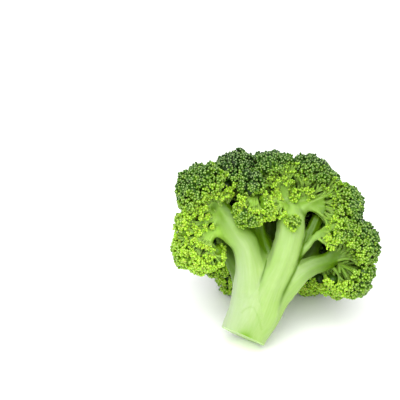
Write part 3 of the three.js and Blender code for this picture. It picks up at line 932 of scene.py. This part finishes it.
# %% [markdown]
# ## Ribs and dents
#
# A stalk isn't a pipe. Low ribs run up it where the leaves' veins came in, and the skin between them dips
# a little. Both are pushed out of the mesh itself, because they show in the outline.

# %% Shape the skin
RIBS = 7
RIB_HEIGHT = 0.22  # mm
DENTS = ((0.5, 14, 3), (0.15, 5, 4))  # mm deep, mm apart, and the seed: slow and quick unevenness
MARK_DEPTH = 0.2  # mm


def slow_noise(points, size, seed):
    """A smooth random value from -1 to 1 for each point, with bumps about `size` apart."""
    rng = np.random.default_rng(seed)
    ways = unit(rng.normal(size=(9, 3)))
    phases = rng.uniform(0, 2 * math.pi, 9)
    waves = np.sin(points @ ways.T * 2 * math.pi / size + phases)
    return waves.mean(axis=1) * 1.7


outward = point_normals(stalk_mesh, stalk_points)
rib = RIB_HEIGHT * np.cos(RIBS * angle_round) * (limb_of < len(LIMBS))
dent = sum(deep * slow_noise(stalk_points, size, seed) for deep, size, seed in DENTS)
stalk_points = stalk_points + outward * (rib + dent - MARK_DEPTH * marks)[:, None]

print("the skin moves by", round(float(np.abs(rib + dent).max()), 1), "mm at most")

# %% [markdown]
# ## Where the skin is green
#
# The skin is greener close to the buds and pale low on the stem. Shade is painted into it as a darker,
# greener skin in the forks, on limbs that lie in shade, towards the ends of limbs under the florets and on
# the sides that face away from the light, and a pale sheen is painted on the lit side. Each limb has its
# own values, blurred over the skin where two limbs meet, and the results go into the mesh.

# %% Tone of the skin
# how much painted sheen lies over a thin wax on the lit side of each limb
WAX_AND_SHEEN = {"trunk": 0.5, "left": 0.4}
SHADE_GREEN = {  # painted shade: how green and dark a limb or a floret's twig is low down, and at its end
    "left": (0, 0.6), "shaded": (1, 1), "right": (0.15, 1), "right_shaded": (1, 1), "back": (0.8, 0.8),
    "back_left": (0.8, 0.8), "back_right": (0.8, 0.8), "left_high": (0.4, 0.3), "right_high": (0.2, 0.6),
    "right_inner": (0.3, 0.5), "right_middle": (1, 1), "right_low": (1, 1),
}
GREEN_FROM, GREEN_TO = 0.6, 0.9  # shares of the limb's length between which the one turns into the other
SIDE_SHADE_GREEN = {"trunk": 0, "left": 1, "middle": 0.15, "right": 0.4}  # painted shade on the side away from the light, up under the florets
OTHER_SIDES = 0.4  # on all other limbs
SIDES_FROM, SIDES_FULL = 38, 52  # mm up the stem
BLUR_ROUNDS = 12
NEAR_FROM, INSIDE_FROM, ALL_INSIDE = 1.5, 1.3, 0.8  # from a floret's centre, in radii


def by_limb(table, usual):
    """For each point of the skin, the value of its limb or twig in a table."""
    return np.array([table.get(name, usual) for name in [*LIMBS, *FLORETS]])[limb_of]


def blurred(values):
    """A value for every point, blurred over the skin."""
    return smoothed(values[:, None], stalk_mesh, BLUR_ROUNDS)[:, 0]


def branchlet_green_and_shade(floret):
    """How green the branchlets of a floret are: pale in a young floret, green in a ripe one, darker with
    painted shade in a shaded one.
    """
    return min(1, max(0, 0.45 - 0.8 * floret["young"]) + 0.6 * floret["shade"])


near_floret = np.zeros(len(stalk_points))
inside = np.zeros(len(stalk_points))
for floret in FLORETS.values():
    away = np.linalg.norm(stalk_points - floret["at"], axis=1) / floret["r"]
    near_floret = np.maximum(near_floret, rising(away, NEAR_FROM, ALL_INSIDE))
    inside = np.maximum(inside, rising(away, INSIDE_FROM, ALL_INSIDE) * branchlet_green_and_shade(floret))
low_shade_green, end_shade_green = by_limb(SHADE_GREEN, (0, 0)).T
share = place_of / np.array([len(run) for run, _ in all_runs])[limb_of]
limb_shade_green = blurred(low_shade_green + (end_shade_green - low_shade_green) * rising(share, GREEN_FROM, GREEN_TO))
# painted shade on the side that faces away from the light, high up under the florets
side_shade_green = blurred(by_limb(SIDE_SHADE_GREEN, OTHER_SIDES)) * rising(stalk_points[:, 2], SIDES_FROM, SIDES_FULL)
side_shade_green *= np.clip(outward[:, 0] + 0.1, 0, 1)
# painted shade in the forks and on shaded limbs and twigs, and the branchlets' green inside the florets
green = np.maximum(np.maximum(in_fork * (1 - near_floret), limb_shade_green) + side_shade_green, inside)
# a painted sheen on the lit side, over the wax, fading near the florets
wax_and_sheen = blurred(by_limb(WAX_AND_SHEEN, 0)) * np.clip(0.2 - outward[:, 0], 0, 1) * (1 - near_floret)
# fresh skin near the florets, and a yellow-green painted shade on the side away from the light
fresh_and_side_shade = np.maximum(near_floret, 0.4 * np.clip(outward[:, 0], 0, 1))
set_points(stalk_mesh, stalk_points * MM)
put_attribute(stalk_mesh, "grain", "FLOAT_VECTOR", grain)
put_attribute(stalk_mesh, "tone", "FLOAT_COLOR", np.stack([fresh_and_side_shade, green, marks, wax_and_sheen], axis=1))

print("mean green of the skin:", round(float(green.mean()), 2))

# %% [markdown]
# ## The cut
#
# A real knife goes through once and leaves a flat face with a crisp edge. A plane cuts the lower end off the
# mesh. A boolean would do it too, but the cut's rim is needed as a loop: it is inset in rings, for a soft
# edge, a ring of green fibres and a slightly dished middle.

# %% Cut the lower end off
CUT_BACK = Vector((0, 12, -1.3)) * MM  # a point of the cut, at its lower rim
CUT_RINGS = ((0.25, 0.12, 1.0), (1.3, 0.1, 0.9), (2.2, 0.0, 0.1), (5.0, -0.25, 0.0), (9.0, -0.4, 0.0))
# each ring: mm in from the rim, mm out of the plane, and how green it is

work = bmesh.new()
work.from_mesh(stalk_mesh)
everything = work.verts[:] + work.edges[:] + work.faces[:]
cut = bmesh.ops.bisect_plane(work, geom=everything, plane_co=CUT_BACK, plane_no=CUT_NORMAL, clear_outer=True)
rim = [v for v in cut["geom_cut"] if isinstance(v, bmesh.types.BMVert) and v.is_boundary]
across = Vector(CUT_NORMAL).orthogonal().normalized()
along = Vector(CUT_NORMAL).cross(across)
middle = sum((v.co for v in rim), Vector()) / len(rim)
rim.sort(key=lambda v: math.atan2((v.co - middle).dot(along), (v.co - middle).dot(across)))
tone_layer = work.verts.layers.float_color["tone"]
ring = rim
for inset, depth, rim_green in CUT_RINGS:
    inner = []
    for v in rim:
        inward = middle - v.co
        share = min(1, inset * MM / inward.length)
        inner.append(work.verts.new(v.co + inward * share + Vector(CUT_NORMAL) * depth * MM))
        inner[-1][tone_layer] = (0, 0, rim_green, 1)
    for k, corner in enumerate(inner):
        face = work.faces.new((ring[k - 1], ring[k], corner, inner[k - 1]))
        face.material_index = 1
    ring = inner
work.faces.new(ring).material_index = 1
bmesh.ops.recalc_face_normals(work, faces=work.faces[:])
work.to_mesh(stalk_mesh)
work.free()

print("points round the cut:", len(rim))

# %% [markdown]
# ## The stalk as a piece
#
# The finished skin is leant back into the part's frame, stands for the frame's plain stalk and rides on the
# same body.

# %% Place the stalk
def place_piece(name, mesh, slot, *nodes):
    """Adds a mesh to the scene as a piece of the head that stands for CAD nodes."""
    piece = put_in_scene(name, mesh)
    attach(piece, "root")
    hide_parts(*nodes)


set_points(stalk_mesh, lying(points_of(stalk_mesh) / MM))
stalk_mesh.polygons.foreach_set("use_smooth", np.ones(len(stalk_mesh.polygons), dtype=bool))
for finish in (STALK_SKIN, CUT_FLESH):
    stalk_mesh.materials.append(finish)
stalk_mesh.update()
place_piece("broccoli_stalk", stalk_mesh, "stalk", "stalk")

print("faces in the stalk:", len(stalk_mesh.polygons))

# %% [markdown]
# ## Clusters
#
# Clusters that would be buried in the next tuft, pressed into the next floret or hidden under the dome are
# left out. That keeps the count down and leaves the dark creases between tufts open. On the side where the
# head was broken from a bigger one, a floret is open near its root, and no closed clusters grow there.

# %% Clusters of a floret
CLUSTER_COVER = math.cos(math.radians(108))
CLUSTER_SPACING = 3.7  # mm
CLUSTER_R = 2.3  # mm
CLUSTER_TURNS, CLUSTER_STEPS = 0.09, 0.5  # how unevenly they are turned, and mm that they stand out
BURIED = 0.93  # a thing is buried when it is nearer to a neighbour's middle than this share of its radius
CLUSTER_PAST, BUD_PAST = 0.3, 0.4  # mm that they may reach past the plane to the next floret
NEAR_SIDE = 0.25  # how far to the near side a cluster has to be for the opening to leave it out


def clusters_of(floret, tufts, sizes, planes, reach, rng):
    """The centres of a floret's clusters, the ways they face, and the tufts they grow on."""
    centres, facing, owners = [], [], []
    for k, (tuft, size) in enumerate(zip(tufts, sizes)):
        count = max(4, count_on(size, CLUSTER_COVER, CLUSTER_SPACING))
        out = spiral(unit(tuft - root_of(floret)), count, CLUSTER_COVER)
        out = unit(out + rng.normal(scale=CLUSTER_TURNS, size=out.shape))
        heads = tuft + out * size
        apart = np.linalg.norm(heads[:, None] - tufts[None], axis=2)
        apart[:, k] = np.inf
        keep = (apart > BURIED * sizes).all(axis=1)
        keep &= (heads @ planes.T <= reach + CLUSTER_PAST).all(axis=1)
        from_middle = unit(heads)
        keep &= (from_middle @ NEAR < NEAR_SIDE) | (from_middle @ floret["faces"] > floret["open"])
        sunk = size - CLUSTER_R + rng.uniform(-CLUSTER_STEPS, CLUSTER_STEPS, count)
        centres.append((tuft + out * sunk[:, None])[keep])
        facing.append(out[keep])
        owners.append(np.full(keep.sum(), k))
    return np.vstack(centres), np.vstack(facing), np.concatenate(owners)


print("places for clusters on a tuft of 6 mm:", count_on(6, CLUSTER_COVER, CLUSTER_SPACING))

# %% [markdown]
# ## Buds
#
# A bud is a club: a thin neck that swells to an egg and closes in a blunt tip. Six sides and three rings are
# enough at this size, because smooth shading rounds them. All the buds of a floret are made at once, by
# turning and scaling one outline. Buds of the sprays stand on longer necks and spread less.

# %% Buds of a floret
BUD_SPACING = 1.85  # mm, as on the real plant
BUD_R = 0.82
BUD_COVER = math.cos(math.radians(88))
BUD_TURNS, BUD_STEPS = 0.13, 0.7  # how unevenly they are turned, and mm that they stand out
SPRAY_COVER = math.cos(math.radians(55))
SPRAY_R = 2.0
BUD_SIDES = 6
BUD_OUTLINE = np.array([  # height below the tip and radius, both in bud radii
    (3.3, 0.36), (1.35, 0.92), (0.5, 0.82)])
LONG_NECK = np.array([1.4, 1, 1])  # how a spray bud's outline is stretched


def buds_of(centres, facing, spray, planes, reach, rng):
    """The tips of a floret's buds, the way each points, and the cluster that each grows on."""
    tips, out, owners = [], [], []
    for k, (centre, way) in enumerate(zip(centres, facing)):
        cover, size = (SPRAY_COVER, SPRAY_R) if spray[k] else (BUD_COVER, CLUSTER_R)
        count = count_on(CLUSTER_R, cover, BUD_SPACING)
        some = spiral(way, count, cover)
        some = unit(some + rng.normal(scale=BUD_TURNS, size=some.shape))
        tips.append(centre + some * (size + rng.uniform(-BUD_STEPS, BUD_STEPS, count))[:, None])
        out.append(some)
        owners.append(np.full(count, k))
    tips, out, owners = np.vstack(tips), np.vstack(out), np.concatenate(owners)
    apart = np.linalg.norm(tips[:, None] - centres[None], axis=2)
    apart[np.arange(len(tips)), owners] = np.inf
    keep = (apart > BURIED * CLUSTER_R).all(axis=1) & (tips @ planes.T <= reach + BUD_PAST).all(axis=1)
    keep |= spray[owners]
    return tips[keep], out[keep], owners[keep]


def bud_mesh(tips, out, sizes, spray):
    """All the buds as one set of points and triangles, and how far up its bud each point is."""
    across = unit(np.cross(out, (0.21, 0.53, 0.82)))
    spread = rings_round(across, np.cross(out, across), BUD_SIDES)
    stretch = np.where(spray[:, None], LONG_NECK, 1)
    low = tips[:, None] - out[:, None] * (BUD_OUTLINE[:, 0] * stretch * sizes[:, None])[..., None]
    rings = low[:, :, None] + spread[:, None] * (BUD_OUTLINE[:, 1] * sizes[:, None])[..., None, None]
    points = np.concatenate([rings.reshape(len(tips), -1, 3), tips[:, None]], axis=1)
    count = len(BUD_OUTLINE)
    tip = count * BUD_SIDES
    one = np.vstack([walls(count, BUD_SIDES), cap((count - 1) * BUD_SIDES, BUD_SIDES, tip)])
    along = np.append(np.repeat(1 - BUD_OUTLINE[:, 0] / BUD_OUTLINE[0, 0], BUD_SIDES), 1.0)
    return points.reshape(-1, 3), copies(one, len(tips), tip + 1), np.tile(along, len(tips))


print("buds on a cluster:", count_on(CLUSTER_R, BUD_COVER, BUD_SPACING),
      "and on a spray:", count_on(CLUSTER_R, SPRAY_COVER, BUD_SPACING))

# %% [markdown]
# ## Branchlets and stalklets
#
# Seen from below or through a gap, the buds stand on pale stalklets that fan out from the twig's end. A
# branchlet bends from the twig into each tuft, and a stalklet from there to each cluster that faces down.
# Where a cluster faces up its stalklet would never show, so it isn't made.

# %% Branchlets of a floret
BRANCHLET_SIDES = 7
BRANCHLET_R = (0.4, 0.26)  # as shares of the twig's end, but no less than the next value
BRANCHLET_LEAST = 0.75  # mm
FAN_SHARE, FAN_END = 0.45, 0.8  # a fan's branchlet: a share of the twig's end, tapered to so many mm
FORK_R = (0.85, 0.6)  # mm
STALKLET_SIDES = 5
STALKLET_R = (0.75, 0.5)  # mm
STALKLETS_BELOW = 0.35  # where a cluster faces up along its floret more than this, no stalklet shows
HUB = 0.45  # where a tuft's stalklets part, behind its middle, in the tuft's radii
BASE_UP = 0.1  # how far past the root the branchlets start, in the floret's radii
STALKLET_PAST = 0.6  # mm that a stalklet reaches past its cluster's middle
BRANCHLET_STATIONS, STALKLET_STATIONS = 6, 4


def tapered(runs, thick, thin, quickly=1):
    """Radii for runs that taper from one thickness to another, evenly or mostly near their start."""
    return np.tile(thin + (thick - thin) * np.linspace(1, 0, runs.shape[1]) ** quickly, (len(runs), 1))


def branchlets_of(floret, tufts, sizes, centres, facing, owners):
    """The pale limbs inside a floret: branchlets to the tufts and stalklets to the clusters."""
    faces, root = floret["faces"], root_of(floret)
    tuft_ways = unit(tufts - root)
    hubs = tufts - tuft_ways * (HUB * sizes)[:, None]
    starts = np.repeat(root[None], len(tufts), axis=0) + faces * BASE_UP * floret["r"]
    runs = bent(starts, unit(tuft_ways + faces), hubs, tuft_ways, BRANCHLET_STATIONS)
    thick = np.maximum(tapered(runs, *np.multiply(BRANCHLET_R, floret["twig"][1])), BRANCHLET_LEAST)
    used = np.isin(np.arange(len(tufts)), owners)
    low = facing @ faces < STALKLETS_BELOW
    centres, facing, owners = centres[low], facing[low], owners[low]
    ends = centres + facing * STALKLET_PAST
    stalklets = bent(hubs[owners], tuft_ways[owners], ends, facing, STALKLET_STATIONS)
    return joined([tubes(runs[used], thick[used], BRANCHLET_SIDES),
                   tubes(stalklets, tapered(stalklets, *STALKLET_R), STALKLET_SIDES)])


def fan_tubes(name):
    """The fan in a floret's opening, as tubes."""
    runs, forks, _, _ = fans[name]
    thick = FAN_SHARE * FLORETS[name]["twig"][1]
    return [tubes(some, tapered(some, *ends, quickly=1.5), BRANCHLET_SIDES)
            for some, ends in ((runs, (thick, FAN_END)), (forks, FORK_R))]


print("points in the fans:", sum(len(points) for name in fans for points, _ in fan_tubes(name)))

# %% [markdown]
# ## A dark heart
#
# Little light reaches the middle of a tuft. A small dark ball in each one stands for the buds that are
# buried there, coloured dark as painted shade, and stops daylight from showing through the floret. Tufts
# that one can look into get none.

# %% Hearts of the tufts
HEART = 0.68  # of the tuft's radius
LUMPS = 0.14
SHUT_ABOVE = 0.35  # how far above the opening a tuft is shut


def shut_tufts(floret, tufts):
    """Which tufts no one can look into."""
    ways = unit(tufts)
    return (ways @ NEAR < 0) | (ways @ floret["faces"] > floret["open"] + SHUT_ABOVE)


def hearts_of(tufts, sizes):
    """A small ball in the middle of each tuft."""
    ball = bmesh.new()
    bmesh.ops.create_icosphere(ball, subdivisions=2, radius=1)
    points = np.array([v.co for v in ball.verts])
    triangles = np.array([[v.index for v in f.verts] for f in ball.faces])
    ball.free()
    lumps = 1 + LUMPS * np.sin(7.9 * np.arange(len(tufts) * len(points))).reshape(len(tufts), -1, 1)
    everywhere = tufts[:, None] + points[None] * (HEART * sizes)[:, None, None] * lumps
    return everywhere.reshape(-1, 3), copies(triangles, len(tufts), len(points))


def painted_heart_shade(floret):
    """How ripe, how far up a bud and how tinted a heart looks: dark as painted shade, darker in a shaded
    floret and less so in a young one.
    """
    depth = 0.58 if floret["open"] > -1 else 0.25
    return 0.8 - 0.7 * floret["young"], depth + 0.4 * floret["young"] - 0.4 * floret["shade"], 0.3


print("shut tufts:", sum(shut_tufts(floret, tufts_of(floret)[0]).sum() for floret in FLORETS.values()))

# %% [markdown]
# ## Ripeness
#
# Ripeness comes from where a bud sits and which way it points: out of the crown and up is ripe, inward or
# low is young, and the sprays in the openings are the youngest, though a shaded opening's sprays are made
# darker as painted shade. Clusters differ a little as wholes, and buds a little within them.

# %% Ripeness of the buds
CROWN_MIDDLE = np.array([15, 6, 36])
RIPE_LEAST, RIPE_OUT, RIPE_UP, RIPE_HIGH = 0.23, 0.25, 0.35, 0.2  # what each of them adds
# SHADED_SPRAY darkens the sprays of a shaded opening, as painted shade
YOUNG_LAG, SPRAY_LAG, SHADED_SPRAY = 0.75, 0.25, 0.5
CLUSTERS_DIFFER, BUDS_DIFFER = 0.07, 0.06


def ripeness(floret, centres, facing, spray, owners, rng):
    """How ripe each bud is, from 0, young and yellow, to 1, dark."""
    place = unit(centres + floret["at"] - CROWN_MIDDLE)
    facing_out = np.einsum("ij,ij->i", facing, place)
    up_the_floret = centres @ floret["faces"] / floret["r"]
    ripe = RIPE_LEAST + RIPE_OUT * facing_out + RIPE_UP * up_the_floret + RIPE_HIGH * place[:, 2]
    ripe = ripe - YOUNG_LAG * floret["young"] - (SPRAY_LAG - SHADED_SPRAY * floret["shade"]) * spray
    ripe = ripe + rng.normal(scale=CLUSTERS_DIFFER, size=len(centres))
    return np.clip(ripe[owners] + rng.normal(scale=BUDS_DIFFER, size=len(owners)), 0, 1)


print("youngest floret:", max(FLORETS, key=lambda name: FLORETS[name]["young"]))

# %% [markdown]
# ## Put the florets together
#
# Each floret becomes one piece with two finishes, the waxy buds and the stalk's satin skin, and stands for
# one node of the frame. Where it lies on the surface it is pressed flat.

# %% Make every floret
BUD_SIZES = 0.16  # share by which buds differ
SPRAY_BUD_R = 0.66
BRANCHLET_FRESH = 0.8  # how fresh the skin of the branchlets is


def make_floret(name, rng):
    """Builds one floret as a piece. Gives the number of its buds and of its faces."""
    floret = FLORETS[name]
    tufts, sizes = tufts_of(floret)
    centres, facing, owners = clusters_of(floret, tufts, sizes, *limits[name], rng)
    limbs = [branchlets_of(floret, tufts, sizes, centres, facing, owners)]
    spray = np.zeros(len(centres), dtype=bool)
    if name in fans:
        runs, forks, run_ways, fork_ways = fans[name]
        limbs += fan_tubes(name)
        centres = np.vstack([centres, runs[:, -1], forks[:, -1]])
        facing = np.vstack([facing, run_ways, fork_ways])
        spray = np.append(spray, np.ones(len(runs) + len(forks), dtype=bool))
    tips, out, clusters = buds_of(centres, facing, spray, *limits[name], rng)
    bud_sizes = np.where(spray[clusters], SPRAY_BUD_R, BUD_R)
    bud_sizes = bud_sizes * (1 + rng.uniform(-BUD_SIZES, BUD_SIZES, len(tips)))
    points, triangles, along = bud_mesh(tips, out, bud_sizes, spray[clusters])
    ripe = ripeness(floret, centres, facing, spray, clusters, rng)
    tint = rng.uniform(0, 1, len(tips))
    each = len(points) // len(tips)
    shut = shut_tufts(floret, tufts)
    hearts = hearts_of(tufts[shut], sizes[shut])
    everything, faces = joined([(points, triangles), hearts, joined(limbs)])
    values = np.ones((len(everything), 4))
    values[:len(points), :3] = np.stack([np.repeat(ripe, each), along, np.repeat(tint, each)], axis=1)
    values[len(points):len(points) + len(hearts[0]), :3] = painted_heart_shade(floret)
    mesh = mesh_of("floret_" + name, lying(everything + floret["at"]), faces)
    put_attribute(mesh, "bud", "FLOAT_COLOR", values)
    put_attribute(mesh, "grain", "FLOAT_VECTOR", everything * (1, 1, GRAIN_STRETCH))
    # the branchlets' skin: fresh, greener in a ripe floret, and darker with painted shade in a shaded one
    put_attribute(mesh, "tone", "FLOAT_COLOR",
                  np.tile((BRANCHLET_FRESH, branchlet_green_and_shade(floret), 0.0, 0.0), (len(everything), 1)))
    mesh.materials.append(BUD_SKIN)
    mesh.materials.append(STALK_SKIN)
    finish = np.zeros(len(faces), dtype=np.int32)
    finish[len(triangles) + len(hearts[1]):] = 1
    mesh.polygons.foreach_set("material_index", finish)
    mesh.update()
    place_piece("floret_" + name + "_buds", mesh, "buds", "floret_" + name)
    return len(tips), len(faces)


total_buds, total_faces = 0, len(stalk_mesh.polygons)
for number, name in enumerate(FLORETS):
    buds, faces = make_floret(name, np.random.default_rng(100 + number))
    total_buds += buds
    total_faces += faces
    print(f"{name}: {buds} buds, {faces} faces")
print("buds in all:", total_buds, "faces in all:", total_faces)

# %% [markdown]
# ## Floor
#
# The head lies on a plain white board that runs out of sight. Matte painted board scatters light evenly, so
# it is rough and has no gloss to speak of. It gives a very faint light of its own, which keeps it white.

# %% Matte white board
FLOOR_SIZE = 6.0  # m
PAPER_GRAIN = 25.0  # mm, far coarser than the real one, which wouldn't show


def matte_white():
    material, tree = new_material("matte_white_board")
    place = add(tree, "ShaderNodeTexCoord").outputs["Object"]
    grain_of_paper = add(tree, "ShaderNodeTexNoise", {
        "Vector": place, "Scale": 1 / (PAPER_GRAIN * MM), "Detail": 2.0})
    tone_of_paper = add(tree, "ShaderNodeMix", {"Factor": grain_of_paper, "A": "#f6f6f6", "B": "#fbfbfb"},
                        data_type="RGBA")
    shader = add(tree, "ShaderNodeBsdfPrincipled", {
        "Base Color": tone_of_paper, "Roughness": 0.8,
        "Emission Color": "#ffffff", "Emission Strength": 0.02})
    add(tree, "ShaderNodeOutputMaterial", {"Surface": shader})
    return material


half = FLOOR_SIZE / 2
floor_mesh = bpy.data.meshes.new("floor")
floor_mesh.from_pydata([(-half, -half, 0), (half, -half, 0), (half, half, 0), (-half, half, 0)], [],
                       [(0, 1, 2, 3)])
floor_mesh.materials.append(matte_white())
floor = put_in_scene("floor", floor_mesh)

print("floor:", FLOOR_SIZE, "m square")

# %% [markdown]
# ## Light
#
# A white room lights the head from all round, and one very broad light from above and a little in front
# gives it form. A sun lamp with a wide angle does that: it is as soft as a big window, and its strength
# doesn't depend on where it stands. The plain view transform keeps the greens as they are set.

# %% Lights
SUN_WAY = (0.09, 0.5, -0.86)  # the way its light goes
SUN_STRENGTH = 3.0
SUN_ANGLE = math.radians(58)
ROOM_STRENGTH = 0.94

sun = bpy.data.lights.new("broad_window", "SUN")
sun.energy = SUN_STRENGTH
sun.angle = SUN_ANGLE
window = put_in_scene("broad_window", sun)
window.rotation_euler = Vector(SUN_WAY).to_track_quat("-Z", "Y").to_euler()
world = bpy.data.worlds.new("white_room")
bpy.context.scene.world = world
world.use_nodes = True
world.node_tree.nodes["Background"].inputs["Color"].default_value = linear("#ffffff")
world.node_tree.nodes["Background"].inputs["Strength"].default_value = ROOM_STRENGTH
bpy.context.scene.view_settings.view_transform = "Standard"

# %% [markdown]
# ## Camera
#
# The camera looks down at the head by the same angle as the head leans back, so it sees the standing plant
# straight on. Its distance follows from the lens and from how many millimetres of the head one pixel takes.

# %% Camera
LENS = 100.0  # mm
SENSOR = 36.0  # mm
IMAGE_SIZE = 400  # pixels, square
MM_PER_PIXEL = 0.55
CUT_PIXEL = (244, 338)  # where the middle of the cut end is seen

look = Vector((0, math.cos(LEAN), -math.sin(LEAN)))
up = Vector((0, math.sin(LEAN), math.cos(LEAN)))
right_shift = (IMAGE_SIZE / 2 - CUT_PIXEL[0]) * MM_PER_PIXEL * MM
up_shift = (CUT_PIXEL[1] - IMAGE_SIZE / 2) * MM_PER_PIXEL * MM
seen_middle = Vector(CUT_AT * MM) + Vector((1, 0, 0)) * right_shift + up * up_shift
distance = IMAGE_SIZE * MM_PER_PIXEL * MM * LENS / SENSOR
camera = bpy.data.cameras.new("camera")
camera.lens = LENS
camera.sensor_width = SENSOR
camera_holder = put_in_scene("camera", camera)
camera_holder.location = seen_middle - look * distance
camera_holder.rotation_euler = look.to_track_quat("-Z", "Y").to_euler()
bpy.context.scene.camera = camera_holder

print(f"camera {distance:.2f} m away")
